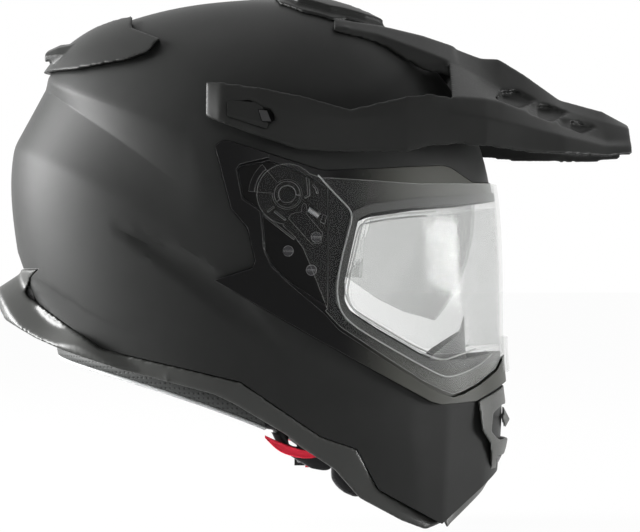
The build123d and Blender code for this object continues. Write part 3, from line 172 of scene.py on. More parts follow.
def finish_material(
    name, colour, rough, shine=0.5, grain=1400, bump=0.25, depth=0.00006, mottle=0.12, rough_play=0.06,
    edge=0.0004, edge_highlight_tone=0.0, **sockets,
):
    """Moulded, painted or woven finish: broad colour change, fine grain, softly rounded edges and a painted
    highlight along them.
    """
    mat = bpy.data.materials.new(name)
    tree, link = tree_of(mat)
    coord = node(tree, "TexCoord")
    broad = node(tree, "TexNoise", {"Scale": 22.0, "Detail": 4.0, "Roughness": 0.6})
    fine = node(tree, "TexNoise", {"Scale": grain, "Detail": 2.0, "Roughness": 0.55})
    dark = [c * (1 - mottle) for c in colour] + [1]
    pale = [min(1, c * (1 + mottle)) for c in colour] + [1]
    tone = node(tree, "MapRange", {"From Min": 0.35, "From Max": 0.65})
    blend = node(tree, "Mix", {6: dark, 7: pale}, data_type="RGBA")
    haze = node(tree, "MapRange", {
        "From Min": 0.3, "From Max": 0.7, "To Min": rough - rough_play, "To Max": rough + rough_play,
    })
    relief = node(tree, "Bump", {"Strength": bump, "Distance": depth})
    shader = node(tree, "BsdfPrincipled")
    shader.inputs["Specular IOR Level"].default_value = shine
    for key, value in sockets.items():
        shader.inputs[key.replace("_", " ")].default_value = value
    out = node(tree, "OutputMaterial")
    link(coord.outputs["Object"], broad.inputs["Vector"])
    link(coord.outputs["Object"], fine.inputs["Vector"])
    link(broad.outputs[0], tone.inputs["Value"])
    link(tone.outputs[0], blend.inputs[0])
    link(fine.outputs[0], relief.inputs["Height"])
    link(fine.outputs[0], haze.inputs["Value"])
    link(haze.outputs[0], shader.inputs["Roughness"])
    surface = blend.outputs[2]
    round_edge = node(tree, "Bevel", {"Radius": edge}, samples=bevel_samples)
    link(round_edge.outputs[0], relief.inputs["Normal"])
    # Painted highlight: the colour turns lighter where the rounded edge bends away from the face
    if edge_highlight_tone:
        place = node(tree, "NewGeometry")
        turned = node(tree, "VectorMath", operation="DOT_PRODUCT")
        highlight_mask = node(tree, "MapRange", {"From Min": 0.975, "From Max": 0.82})
        highlight_mix = node(tree, "Mix", {7: [min(1, c + edge_highlight_tone) for c in colour] + [1]}, data_type="RGBA")
        link(round_edge.outputs[0], turned.inputs[0])
        link(place.outputs["Normal"], turned.inputs[1])
        link(turned.outputs["Value"], highlight_mask.inputs["Value"])
        link(highlight_mask.outputs[0], highlight_mix.inputs[0])
        link(surface, highlight_mix.inputs[6])
        surface = highlight_mix.outputs[2]
    link(surface, shader.inputs["Base Color"])
    link(relief.outputs[0], shader.inputs["Normal"])
    link(shader.outputs[0], out.inputs[0])
    return mat


def clear_material(name, tint, body, rough, shine, least, most, edge_glint):
    """Thin clear sheet: mostly see-through, milkier where it is seen at a slant, with a painted highlight
    along its edges.
    """
    mat = bpy.data.materials.new(name)
    tree, link = tree_of(mat)
    coord = node(tree, "TexCoord")
    noise = node(tree, "TexNoise", {"Scale": 60.0, "Detail": 3.0})
    haze = node(tree, "MapRange", {"To Min": rough * 0.6, "To Max": rough * 1.6})
    through = node(tree, "BsdfTransparent", {"Color": (*tint, 1)})
    gloss = node(tree, "BsdfPrincipled", {"Base Color": (*body, 1), "Specular IOR Level": shine})
    slant = node(tree, "LayerWeight", {"Blend": 0.22})
    share = node(tree, "MapRange", {"To Min": least, "To Max": most})
    place = node(tree, "NewGeometry")
    round_edge = node(tree, "Bevel", {"Radius": 0.0005}, samples=bevel_samples)
    turned = node(tree, "VectorMath", operation="DOT_PRODUCT")
    # Painted highlight: along the rounded edges the sheet turns to the lit grey gloss
    edge = node(tree, "MapRange", {"From Min": 0.94, "From Max": 0.75, "To Max": edge_glint})
    larger = node(tree, "Math", operation="MAXIMUM")
    mix = node(tree, "MixShader")
    out = node(tree, "OutputMaterial")
    link(coord.outputs["Object"], noise.inputs["Vector"])
    link(noise.outputs[0], haze.inputs["Value"])
    link(haze.outputs[0], gloss.inputs["Roughness"])
    link(slant.outputs["Facing"], share.inputs["Value"])
    link(round_edge.outputs[0], turned.inputs[0])
    link(place.outputs["Normal"], turned.inputs[1])
    link(turned.outputs["Value"], edge.inputs["Value"])
    link(share.outputs[0], larger.inputs[0])
    link(edge.outputs[0], larger.inputs[1])
    link(larger.outputs[0], mix.inputs[0])
    link(through.outputs[0], mix.inputs[1])
    link(gloss.outputs[0], mix.inputs[2])
    link(mix.outputs[0], out.inputs[0])
    return mat


def along_x(mat, low, high, tone, rough):
    """Let a finish turn into a lighter, duller one towards the front."""
    tree = mat.node_tree
    link = tree.links.new
    skin = next(n for n in tree.nodes if n.type == "BSDF_PRINCIPLED")
    coord = node(tree, "TexCoord")
    split = node(tree, "SeparateXYZ")
    change = node(tree, "MapRange", {"From Min": low, "From Max": high}, interpolation_type="SMOOTHSTEP")
    link(coord.outputs["Object"], split.inputs[0])
    link(split.outputs[0], change.inputs["Value"])
    for socket, kind, first, front_value in (
        ("Base Color", "MixRGB", 1, (*tone, 1)), ("Roughness", "Mix", 2, rough),
    ):
        mix = node(tree, kind, {first + 1: front_value})
        link(change.outputs[0], mix.inputs[0])
        link(skin.inputs[socket].links[0].from_socket, mix.inputs[first])
        link(mix.outputs[0], skin.inputs[socket])
    return mat


# The edge tone of each finish below sets its painted highlight along the edges
paint = finish_material(
    "shell_paint", (0.019, 0.0196, 0.0190), 0.46, 0.10, grain=2600, bump=0.2, mottle=0.10, edge_highlight_tone=0.01
)
trim = finish_material(
    "trim_plastic", (0.027, 0.028, 0.026), 0.42, 0.32, grain=1300, bump=0.4, edge_highlight_tone=0.012
)
satin = finish_material(
    "peak_plastic", (0.016, 0.0165, 0.0158), 0.42, 0.12, grain=1700, bump=0.25, edge_highlight_tone=0.014
)
gloss_black = (0.004, 0.004, 0.0042)
gloss = finish_material(
    "gloss_plastic", gloss_black, 0.20, 0.10, grain=300, bump=0.05, rough_play=0.04, edge_highlight_tone=0.34,
    edge=0.0006,
)
# Painted light: a lighter copy of the trim plastic for the chin vent pieces, which face the front lamp
vent_painted_light = finish_material(
    "vent_plastic_painted_light", (0.075, 0.076, 0.072), 0.44, 0.25, grain=1300, bump=0.35, edge_highlight_tone=0.03
)
frame_gloss = along_x(
    finish_material(
        "frame_plastic", gloss_black, 0.20, 0.10, grain=300, bump=0.05, rough_play=0.04, edge_highlight_tone=0.14,
        edge=0.00035,
    ),
    low=0.030, high=0.075, tone=(0.062, 0.063, 0.056), rough=0.42,
)
black = finish_material(
    "black_plastic", (0.006, 0.006, 0.0065), 0.38, 0.35, grain=1500, bump=0.3, edge_highlight_tone=0.02
)
rubber = finish_material("gasket_rubber", (0.045, 0.046, 0.044), 0.62, 0.25, grain=1800, bump=0.35)
steel = finish_material("spring_steel", (0.62, 0.62, 0.63), 0.30, 0.5, grain=2500, bump=0.15, Metallic=0.55)
screw = finish_material(
    "screw_steel", (0.030, 0.030, 0.032), 0.30, 0.5, grain=2200, bump=0.2, edge_highlight_tone=0.45, Metallic=0.8
)
foam = finish_material("liner_foam", (0.030, 0.031, 0.030), 0.75, 0.2, grain=1300, bump=0.25, depth=0.0002)
fabric = finish_material(
    "pad_fabric", (0.016, 0.016, 0.017), 0.9, 0.15, grain=2400, bump=0.7, depth=0.0002, Sheen_Weight=0.25
)
red = finish_material("red_tab", (0.78, 0.02, 0.05), 0.6, 0.3, grain=1500, bump=0.4)
webbing = finish_material(
    "strap_webbing", (0.014, 0.014, 0.015), 0.7, 0.2, grain=900, bump=0.9, depth=0.0003, Sheen_Weight=0.2
)
silver = finish_material("piping_silver", (0.42, 0.43, 0.43), 0.35, 0.4, grain=1200, bump=0.5)
# Each clear sheet below is given the strength of its painted highlight along the edges
clear = clear_material(
    "clear_visor", (0.993, 0.994, 0.993), (0.60, 0.61, 0.60), rough=0.10, shine=0.3, least=0.012, most=0.42,
    edge_glint=0.75,
)
bead = clear_material(
    "moulded_bead", (0.95, 0.955, 0.95), (0.58, 0.59, 0.58), rough=0.15, shine=0.4, least=0.35, most=0.85,
    edge_glint=0.9,
)
tinted = clear_material(
    "tinted_visor", (0.925, 0.927, 0.925), (0.30, 0.305, 0.30), rough=0.32, shine=0.12, least=0.01, most=0.26,
    edge_glint=0.25,
)

# Rows of holes are set out round the helmet's upright middle line: its X, a radius, and the holes' blur
hole_middle, hole_circle, hole_blur = -0.0151, 0.105, 0.06


def perforated_material(name, colour, dark, pitch, hole):
    """Coated cloth with rows of small round holes, set out along the turn and the height."""
    mat = bpy.data.materials.new(name)
    tree, link = tree_of(mat)
    coord = node(tree, "TexCoord")
    split = node(tree, "SeparateXYZ")
    shift = node(tree, "Math", {1: hole_middle}, operation="SUBTRACT")
    turn = node(tree, "Math", operation="ARCTAN2")
    run = node(tree, "Math", {1: hole_circle}, operation="MULTIPLY")
    join = node(tree, "CombineXYZ")
    holes = node(tree, "TexVoronoi", {"Scale": 1 / pitch, "Randomness": 0.0}, voronoi_dimensions="2D")
    edge = node(tree, "MapRange", {"From Min": hole - hole_blur, "From Max": hole + hole_blur})
    mix = node(tree, "MixRGB", {1: (*dark, 1), 2: (*colour, 1)})
    lift = node(tree, "Bump", {"Strength": 0.6, "Distance": 0.0004})
    skin = node(tree, "BsdfPrincipled", {"Roughness": 0.55, "Specular IOR Level": 0.3})
    out = node(tree, "OutputMaterial")
    link(coord.outputs["Object"], split.inputs[0])
    link(split.outputs[0], shift.inputs[0])
    link(split.outputs[1], turn.inputs[0])
    link(shift.outputs[0], turn.inputs[1])
    link(turn.outputs[0], run.inputs[0])
    link(run.outputs[0], join.inputs[0])
    link(split.outputs[2], join.inputs[1])
    link(join.outputs[0], holes.inputs["Vector"])
    link(holes.outputs["Distance"], edge.inputs["Value"])
    link(edge.outputs[0], mix.inputs[0])
    link(edge.outputs[0], lift.inputs["Height"])
    link(mix.outputs[0], skin.inputs["Base Color"])
    link(lift.outputs[0], skin.inputs["Normal"])
    link(skin.outputs[0], out.inputs[0])
    return mat


perforated = perforated_material(
    "perforated_cloth", (0.034, 0.036, 0.035), (0.003, 0.003, 0.003), pitch=0.0029, hole=0.20
)
mesh_cloth = perforated_material(
    "mesh_cloth", (0.020, 0.020, 0.021), (0.006, 0.006, 0.006), pitch=0.0016, hole=0.24
)

# Looks of the nodes that keep their CAD mesh
looks = {
    satin: ["peak_side_cover_right", "peak_side_cover_left"],
    frame_gloss: ["eyeport_frame"],
    gloss: ["visor_base_plate_right", "visor_base_plate_left", "detent_arm_right", "detent_arm_left",
            "visor_release_lever_right", "visor_release_lever_left"],
    rubber: ["eyeport_gasket"],
    steel: ["detent_spring_right", "detent_spring_left"],
    screw: ["base_plate_screws", "peak_screws", "strap_anchors", "sun_visor_pins"],
    clear: ["visor", "visor_tab", "fog_insert_lens", "fog_insert_pins"],
    tinted: ["sun_visor"],
    foam: ["impact_liner_crown", "impact_liner_right", "impact_liner_left", "chin_liner"],
    red: ["buckle_release_lever"],
    black: ["peak_latch_right", "peak_latch_left", "top_vent_slider", "chin_vent_grille",
            "breath_guard", "buckle_receiver", "buckle_ladder", "sun_visor_lever"],
}
for look, names in looks.items():
    for name in names:
        nodes[name].data.materials.clear()
        nodes[name].data.materials.append(look)


# The head shell's form. X is forward from the pivot line, Z is up, and turns are in degrees from the back
shell_length, shell_height, shell_width = 0.290, 0.323, 0.244
middle_share = -0.052
middle = middle_share * shell_length
# Height, back, front and half width of the level sections, as shares of the shell's sizes
level_shares = [
    (0.3725, -0.092, -0.012, 0.078), (0.363, -0.195, 0.060, 0.240), (0.341, -0.308, 0.144, 0.410),
    (0.304, -0.411, 0.224, 0.574), (0.255, -0.480, 0.293, 0.721), (0.193, -0.528, 0.348, 0.848),
    (0.119, -0.568, 0.391, 0.939), (0.038, -0.583, 0.418, 0.988), (-0.055, -0.577, 0.430, 1.000),
    (-0.163, -0.556, 0.434, 0.988), (-0.272, -0.521, 0.436, 0.951), (-0.380, -0.470, 0.447, 0.893),
    (-0.488, -0.401, 0.441, 0.820), (-0.640, -0.314, 0.424, 0.721),
]


def natural_spline(knots, values):
    """Second derivatives of the smooth curve through the values at the knots, for spline_at."""
    count = len(knots)
    matrix, right = np.eye(count), np.zeros((count, values.shape[1]))
    for i in range(1, count - 1):
        before, after = knots[i] - knots[i - 1], knots[i + 1] - knots[i]
        matrix[i, i - 1:i + 2] = before, 2 * (before + after), after
        right[i] = 6 * ((values[i + 1] - values[i]) / after - (values[i] - values[i - 1]) / before)
    return np.linalg.solve(matrix, right)


def spline_at(knots, values, bends, at):
    """Points on the smooth curve at the given places along it."""
    i = np.clip(np.searchsorted(knots, at) - 1, 0, len(knots) - 2)
    step = knots[i + 1] - knots[i]
    a = ((knots[i + 1] - at) / step)[..., None]
    b = 1 - a
    step = step[..., None]
    bend = ((a**3 - a) * bends[i] + (b**3 - b) * bends[i + 1]) * step**2 / 6
    return a * values[i] + b * values[i + 1] + bend


fine_steps = 4000


class Form:
    """The smooth convex form grown by a distance: its surface as a reach from the upright middle line."""

    def __init__(self, grow):
        rows = np.array([
            (z * shell_height, middle - x * shell_length, y * shell_length - middle, w * shell_width / 2)
            for z, x, y, w in level_shares
        ])
        moved = []
        for i, row in enumerate(rows):
            above, below = rows[max(i - 1, 0)], rows[min(i + 1, len(rows) - 1)]
            fall, spread = above[0] - below[0], (below[1:] - above[1:]).mean()
            slope = hypot(fall, spread)
            moved.append(row + grow * np.array([spread, fall, fall, fall]) / slope)
        self.rows = np.array(moved)
        steps = np.diff(self.rows, axis=0)
        lengths = np.sqrt(steps[:, 0] ** 2 + ((steps[:, 1] + steps[:, 2] + steps[:, 3]) / 3) ** 2)
        knots = np.concatenate([[0], np.cumsum(lengths)])
        self.fine = np.linspace(0, knots[-1], fine_steps)
        self.fine_rows = spline_at(knots, self.rows, natural_spline(knots, self.rows), self.fine)

    def along(self, z):
        """How far down the form, along its side, a height is."""
        return np.interp(-np.asarray(z), -self.fine_rows[:, 0], self.fine)

    def height(self, t):
        return np.interp(t, self.fine, self.fine_rows[:, 0])

    def section(self, z):
        """Back, front and half width of the level section at a height."""
        t = self.along(z)
        return [np.interp(t, self.fine, self.fine_rows[:, k]) for k in (1, 2, 3)]

    def reach(self, turn, z):
        back, front, half = self.section(z)
        along = np.where(np.abs(turn) > 90, front, back)
        return 1 / np.hypot(np.cos(np.radians(turn)) / along, np.sin(np.radians(turn)) / half)

    def half_width(self, x, z):
        back, front, half = self.section(z)
        share = (x - middle) / np.where(x > middle, front, back)
        return half * np.sqrt(np.maximum(0, 1 - share * share))


shoulder_turn, taper_turn, back_relief = 80.0, 75.0, 0.6
shoulder_bite, taper_inset, taper_flare, lip_drop = 0.007, 0.008, 1.6, 0.032


def falling_line(start, end, limit, power):
    """Height of a crease on each turn: it falls from the back to the sides."""
    def height(turn):
        share = np.minimum(np.abs(turn), shoulder_turn) / limit
        return shell_height * (start + (end - start) * share**power)

    return height


shoulder_top = falling_line(0.227, 0.096, 76, 1.3)
shoulder_waist = falling_line(0.203, -0.010, 73, 1.7)
shoulder_foot = falling_line(0.098, -0.082, 71, 1.65)
taper_top = falling_line(-0.092, -0.310, 72, 1.0)
scoop_shares = np.array([
    (-0.352, -0.061), (-0.273, -0.098), (-0.190, -0.146), (-0.105, -0.210), (-0.030, -0.270), (0.020, -0.310),
])
scoop_path = scoop_shares * (shell_length, shell_height)
scoop_sizes = np.array([0.06, 0.45, 0.85, 1.0, 0.7, 0.12]) * 0.017
scoop_bites = np.array([0.1, 0.9, 1.0, 0.8, 0.3, -0.4]) * 0.0034
scoop_side = 0.5
chin_facets = [
    [(0.283, -0.389), (0.316, -0.602), (0.329, -0.409)],
    [(0.329, -0.409), (0.320, -0.598), (0.398, -0.424)],
]
facet_sink, facet_facing = 0.0008, 0.15
facet_zone_top, facet_zone_back = -0.345 * shell_height, 0.235 * shell_length
# How softly each crease is rounded, and a reach that lies outside everything
shoulder_round, taper_round, facet_round, scoop_round = 0.0012, 0.0010, 0.0006, 0.0005
outside = 1.0


def softer(a, b, size):
    """The lesser of two, with a rounded change from one to the other."""
    share = np.clip(0.5 + (b - a) / (2 * size), 0, 1)
    return b + (a - b) * share - size * share * (1 - share)


def shell_reach(form, turn, z):
    """Reach of the shell's skin with its shoulders, taper, chin facets and side scoops."""
    smooth = form.reach(turn, z)
    t = np.minimum(np.abs(turn) / shoulder_turn, 1)
    lift = shoulder_bite * t**6 / 2
    top, waist, foot = shoulder_top(turn), shoulder_waist(turn), shoulder_foot(turn)
    bite = shoulder_bite * (1 - t**3) * (1 - back_relief * (1 - t) ** 4)
    apex = form.reach(turn, waist) - bite + lift
    upper = form.reach(turn, top) + lift
    lower = form.reach(turn, foot) + lift
    wall = apex + (upper - apex) * (z - waist) / (top - waist)
    slope = apex + (lower - apex) * (waist - z) / (waist - foot)
    reach = softer(smooth, np.maximum(wall, slope), shoulder_round)
    t = np.minimum(np.abs(turn) / taper_turn, 1)
    edge_z = taper_top(turn)
    edge = form.reach(turn, edge_z) + taper_inset * t**6 / 2
    sloped = edge - taper_inset * (1 - t) * taper_flare * (edge_z - z) / lip_drop
    reach = softer(reach, np.where(z < edge_z, sloped, outside), taper_round)
    c, s = np.cos(np.radians(turn)), np.sin(np.radians(turn))
    for sign in (-1, 1):
        for shares in chin_facets:
            corners = []
            for x, high in np.array(shares) * (shell_length, shell_height):
                out = float(form.half_width(x, high)) - facet_sink
                corners.append(Vector((x, sign * out, high)))
            normal = (corners[1] - corners[0]).cross(corners[2] - corners[0]).normalized()
            if normal.x < 0:
                normal = -normal
            # The reach at which the ray from the middle line meets the facet's plane
            facing = -c * normal.x + s * normal.y
            near = corners[0]
            room = normal.x * (near.x - middle) + normal.y * near.y + normal.z * (near.z - z)
            meets = np.where(facing > facet_facing, room / np.maximum(facing, facet_facing), outside)
            zone = (z < facet_zone_top) & (middle - c * smooth > facet_zone_back) & (sign * s > 0)
            reach = np.where(zone, softer(reach, meets, facet_round), reach)
    # Each scoop presses the skin in to a round of the scoop's own radius
    for sign in (-1, 1):
        x = middle - c * reach
        heading = scoop_path[-1] - scoop_path[0]
        heading = heading / np.hypot(*heading)
        run = (scoop_path - scoop_path[0]) @ heading
        at = (x - scoop_path[0][0]) * heading[0] + (z - scoop_path[0][1]) * heading[1]
        cx, cz = [np.interp(at, run, scoop_path[:, k]) for k in (0, 1)]
        size, bite = np.interp(at, run, scoop_sizes), np.interp(at, run, scoop_bites)
        out = form.half_width(cx, cz) + size - bite
        across = (x - cx) * -heading[1] + (z - cz) * heading[0]
        inside = (np.abs(across) < size) & (at > 0) & (at < run[-1]) & (sign * s > scoop_side)
        depth = out - np.sqrt(np.maximum(size**2 - across**2, 0))
        pressed = np.where(inside, depth / np.maximum(np.abs(s), scoop_side), outside)
        reach = np.where(inside, softer(reach, pressed, scoop_round), reach)
    return reach


def new_object(name, points, faces, smooth=True):
    mesh = bpy.data.meshes.new(name)
    mesh.from_pydata([tuple(p) for p in points], [], [tuple(f) for f in faces])
    mesh.update()
    if smooth:
        mesh.shade_smooth()
    made = bpy.data.objects.new(name, mesh)
    scene.collection.objects.link(made)
    return made


def apply_all(piece):
    """Work out a piece's modifiers once and keep the result as its mesh."""
    graph = bpy.context.evaluated_depsgraph_get()
    mesh = bpy.data.meshes.new_from_object(piece.evaluated_get(graph))
    piece.modifiers.clear()
    old = piece.data
    piece.data = mesh
    bpy.data.meshes.remove(old)
    return piece


def carve(piece, tool, operation="DIFFERENCE"):
    """Cut, join or intersect a piece with a tool, which is used up."""
    change = piece.modifiers.new("carve", "BOOLEAN")
    change.operation, change.solver, change.object = operation, "MANIFOLD", tool
    apply_all(piece)
    bpy.data.objects.remove(tool)


def turns_left(outline):
    return sum(a[0] * b[1] - b[0] * a[1] for a, b in zip(outline, np.roll(outline, -1, 0))) > 0


def prism(outline, near, far):
    """Prism along Y over an outline of (x, z) in metres, between two values of Y."""
    ring = outline if turns_left(outline) else outline[::-1]
    count = len(ring)
    points = [(x, near, z) for x, z in ring] + [(x, far, z) for x, z in ring]
    faces = [list(range(count)), list(range(2 * count - 1, count - 1, -1))]
    faces += [(i, count + i, count + (i + 1) % count, (i + 1) % count) for i in range(count)]
    return new_object("tool", points, faces, smooth=False)


corner_steps, corner_most, mitre_least = (0, 0.33, 0.67, 1), 0.45, 0.4


def outline_of(shares, grow=0.0, corner=0.0):
    """Outline in metres from shares of the shell's length and height, moved out, with cut-round corners."""
    points = np.array(shares) * (shell_length, shell_height)
    way = 1 if turns_left(points) else -1
    moved = []
    for i, p in enumerate(points):
        one = p - points[i - 1]
        two = points[(i + 1) % len(points)] - p
        one, two = one / np.hypot(*one), two / np.hypot(*two)
        n1, n2 = np.array([one[1], -one[0]]) * way, np.array([two[1], -two[0]]) * way
        between = n1 + n2
        moved.append(p + between * grow / max(mitre_least, 1 + n1 @ n2))
    if not corner:
        return [tuple(p) for p in moved]
    rounded = []
    for i, p in enumerate(moved):
        before, after = moved[i - 1] - p, moved[(i + 1) % len(moved)] - p
        run = min(corner, np.hypot(*before) * corner_most, np.hypot(*after) * corner_most)
        start, end = p + before / np.hypot(*before) * run, p + after / np.hypot(*after) * run
        for k in corner_steps:
            rounded.append(tuple((1 - k) ** 2 * start + 2 * k * (1 - k) * p + k * k * end))
    return rounded


turn_rows = np.concatenate([np.arange(-180, -100, 0.6), np.arange(-100, 100, 1.25), np.arange(100, 180, 0.6)])
coarse_turns = np.arange(-180, 180, 3.0)
crease_gap, skin_foot_share = 0.0009, -0.63
rows_between_creases = (52, 7, 16, 22, 60)
# Rings that round off the crown, as share of the top row's size and rise above it
crown_rings, crown_rise = ((0.33, 0.0009), (0.66, 0.0006)), 0.001


def skin_heights(form, turns):
    """Heights of the skin's rows on each turn, with close rows beside each crease."""
    marks = [np.full(turns.shape, form.rows[0, 0])]
    for line in (shoulder_top, shoulder_waist, shoulder_foot, taper_top):
        marks.append(line(turns))
    marks.append(np.full(turns.shape, skin_foot_share * shell_height))
    runs = [form.along(m) for m in marks]
    rows, last = [], len(rows_between_creases) - 1
    for k, count in enumerate(rows_between_creases):
        start, end = runs[k] + (crease_gap if k else 0), runs[k + 1] - (crease_gap if k < last else 0)
        for share in np.linspace(0, 1, count):
            rows.append(start + (end - start) * share)
        if k < last:
            rows.append(runs[k + 1])
    return np.array([form.height(t) for t in rows])


def closed_skin(form, shape, name, turns=turn_rows):
    """Closed solid under a skin, from the crown to well below the helmet."""
    heights = skin_heights(form, turns)
    wide = np.broadcast_to(turns, heights.shape)
    reach = shape(form, wide, heights)
    c, s = np.cos(np.radians(wide)), np.sin(np.radians(wide))
    grid = np.stack([middle - c * reach, s * reach, heights], axis=-1)
    crown = grid[0].mean(0)
    cap = []
    for share, rise in crown_rings:
        ring = crown + (grid[0] - crown) * share
        ring[:, 2] += rise
        cap.append(ring)
    grid = np.concatenate([np.array(cap), grid])
    rows, columns = grid.shape[:2]
    points = list(grid.reshape(-1, 3)) + [crown + (0, 0, crown_rise), (middle, 0, grid[-1, 0, 2])]
    top, foot = rows * columns, rows * columns + 1
    faces = []
    for r in range(rows - 1):
        for k in range(columns):
            n = (k + 1) % columns
            faces.append((r * columns + n, (r + 1) * columns + n, (r + 1) * columns + k, r * columns + k))
    for k in range(columns):
        n = (k + 1) % columns
        faces.append((top, n, k))
        faces.append((foot, (rows - 1) * columns + k, (rows - 1) * columns + n))
    return new_object(name, points, faces)


# Outlines seen from the side, as shares of the shell's length and height from the pivot line
base_line_shares = [
    (-0.512, -0.134), (-0.532, -0.149), (-0.546, -0.176), (-0.538, -0.187), (-0.376, -0.280),
    (-0.207, -0.313), (-0.093, -0.337), (0.066, -0.436), (0.086, -0.443), (0.140, -0.460),
    (0.185, -0.536), (0.316, -0.604),
]
chin_slope_shares = [(0.316, -0.604), (0.436, -0.514), (0.700, -0.316), (0.700, -0.800)]
frame_shares = [
    (-0.130, 0.097), (-0.145, 0.086), (-0.112, -0.027), (-0.080, -0.061), (-0.064, -0.120), (-0.070, -0.132),
    (-0.148, -0.154), (0.060, -0.261), (0.289, -0.376), (0.314, -0.383), (0.388, -0.378), (0.452, -0.348),
    (0.600, -0.300), (0.600, 0.028), (0.421, 0.028), (0.380, 0.026), (0.333, 0.052), (0.314, 0.056),
    (0.186, 0.048), (0.070, 0.043), (-0.116, 0.096),
]
window_shares = [
    (-0.036, 0.060), (-0.094, 0.050), (-0.100, 0.043), (-0.088, -0.007), (-0.052, -0.029), (-0.044, -0.102),
    (-0.030, -0.129), (0.004, -0.158), (0.082, -0.204), (0.082, 0.012), (0.020, 0.043),
]
opening_shares = [
    (0.141, -0.050), (0.126, -0.110), (0.113, -0.165), (0.114, -0.190), (0.130, -0.216), (0.188, -0.250),
    (0.289, -0.302), (0.360, -0.300),
    (0.600, -0.270), (0.600, -0.006), (0.440, -0.006), (0.359, -0.015), (0.270, -0.020), (0.168, -0.033),
    (0.146, -0.042),
]
below_outline = outline_of(
    [(-0.800, -0.134)] + base_line_shares + chin_slope_shares[2:] + [(-0.800, -0.800)]
)
far_out = 0.2
frame_step, recess_floor, recess_wall, recess_out, shell_wall = 0.002, 0.110, 0.0025, 0.135, 0.004
frame_corner, opening_corner, crease_angle = 0.001, 0.003, 32
skin_form = Form(0.0)


def wall_inside(form, turn, z):
    """Inside of the wall, which follows the shoulders a wall's width below the skin."""
    return np.minimum(form.reach(turn, z), shell_reach(skin_form, turn, z) - shell_wall)


def stepped_form():
    return closed_skin(Form(-frame_step), Form.reach, "tool", coarse_turns)


def make_shell():
    """Painted shell: creased skin, wall, the step under the eyeport frame and the pivots' recesses."""
    shell = closed_skin(skin_form, shell_reach, "outer_shell_skin")
    carve(shell, closed_skin(Form(-shell_wall), wall_inside, "tool", coarse_turns))
    step = prism(outline_of(frame_shares, corner=frame_corner), -far_out, far_out)
    carve(step, stepped_form())
    carve(shell, step)
    for side in (-1, 1):
        near, far = sorted((side * (recess_floor - recess_wall), side * recess_out))
        cup = prism(outline_of(window_shares, recess_wall), near, far)
        carve(cup, stepped_form(), "INTERSECT")
        carve(shell, cup, "UNION")
    for side in (-1, 1):
        near, far = sorted((side * recess_floor, side * far_out))
        carve(shell, prism(outline_of(window_shares), near, far))
    for outline in (
        outline_of(opening_shares, corner=opening_corner), below_outline, outline_of(chin_slope_shares),
    ):
        carve(shell, prism(outline, -far_out, far_out))
    shell.data.shade_smooth()
    shell.data.set_sharp_from_angle(angle=radians(crease_angle))
    shell.data.materials.clear()
    shell.data.materials.append(paint)
    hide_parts("outer_shell")
    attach(shell, "helmet")


make_shell()


# Helpers for pieces that are remade over the space that their CAD solids hold
def points_of(piece):
    flat = np.empty(len(piece.data.vertices) * 3)
    piece.data.vertices.foreach_get("co", flat)
    return flat.reshape(-1, 3)


def set_points(piece, points):
    piece.data.vertices.foreach_set("co", points.ravel())
    piece.data.update()


def normals_of(piece):
    flat = np.empty(len(piece.data.vertices) * 3)
    piece.data.vertex_normals.foreach_get("vector", flat)
    return flat.reshape(-1, 3)


def evened(piece, voxel, passes, inset=0.0):
    """Remesh a piece evenly, press it in and ease its edges."""
    even = piece.modifiers.new("even", "REMESH")
    even.mode, even.voxel_size = "VOXEL", voxel
    if inset:
        press = piece.modifiers.new("press", "DISPLACE")
        press.strength, press.mid_level = -inset, 0.0
    smooth = piece.modifiers.new("ease", "SMOOTH")
    smooth.factor, smooth.iterations = 0.5, passes
    return apply_all(piece)


def with_lobes(data, lobes):
    """Mesh of a node with closed lobes laid into it, which the remesh makes one."""
    points, faces = [tuple(v.co) for v in data.vertices], [tuple(p.vertices) for p in data.polygons]
    for lobe in lobes:
        start = len(points)
        points += [tuple(v.co) for v in lobe.data.vertices]
        faces += [tuple(start + k for k in p.vertices) for p in lobe.data.polygons]
        bpy.data.objects.remove(lobe)
    return points, faces


def even_copy(name, voxel, inset, passes, lobes=()):
    """Even, slightly smaller mesh over a soft node, ready to be swollen and sewn."""
    return evened(new_object(name + "_cover", *with_lobes(nodes[name].data, lobes)), voxel, passes, inset)


fill_frames = 20


def swell(piece, pressure, cap):
    """Fill a pad as cloth under pressure, and keep each point within the cap of where it was."""
    start = points_of(piece)
    cloth = piece.modifiers.new("fill", "CLOTH")
    cloth.settings.quality = 3
    cloth.settings.use_pressure = True
    cloth.settings.uniform_pressure_force = pressure
    cloth.settings.effector_weights.gravity = 0
    cloth.point_cache.frame_end = fill_frames
    for frame_number in range(1, fill_frames + 1):
        scene.frame_set(frame_number)
    graph = bpy.context.evaluated_depsgraph_get()
    shaped = piece.evaluated_get(graph)
    flat = np.empty(len(start) * 3)
    shaped.data.vertices.foreach_get("co", flat)
    moved = flat.reshape(-1, 3) - start
    length = np.linalg.norm(moved, axis=1, keepdims=True)
    piece.modifiers.remove(cloth)
    set_points(piece, start + moved * np.minimum(1, cap / np.maximum(length, 1e-9)))
    scene.frame_set(1)


def finer(piece):
    change = piece.modifiers.new("finer", "SUBSURF")
    change.levels = change.render_levels = 1
    return apply_all(piece)


def sew(piece, distance, width, depth, puff=0.0):
    """Sink a seam where the distance is nil, and let the cloth rise between the seams."""
    points, normals = points_of(piece), normals_of(piece)
    gap = np.abs(distance(points))
    move = -depth * np.exp(-((gap / width) ** 2)) + puff * (1 - np.exp(-((gap / (6 * width)) ** 2)))
    set_points(piece, points + normals * move[:, None])


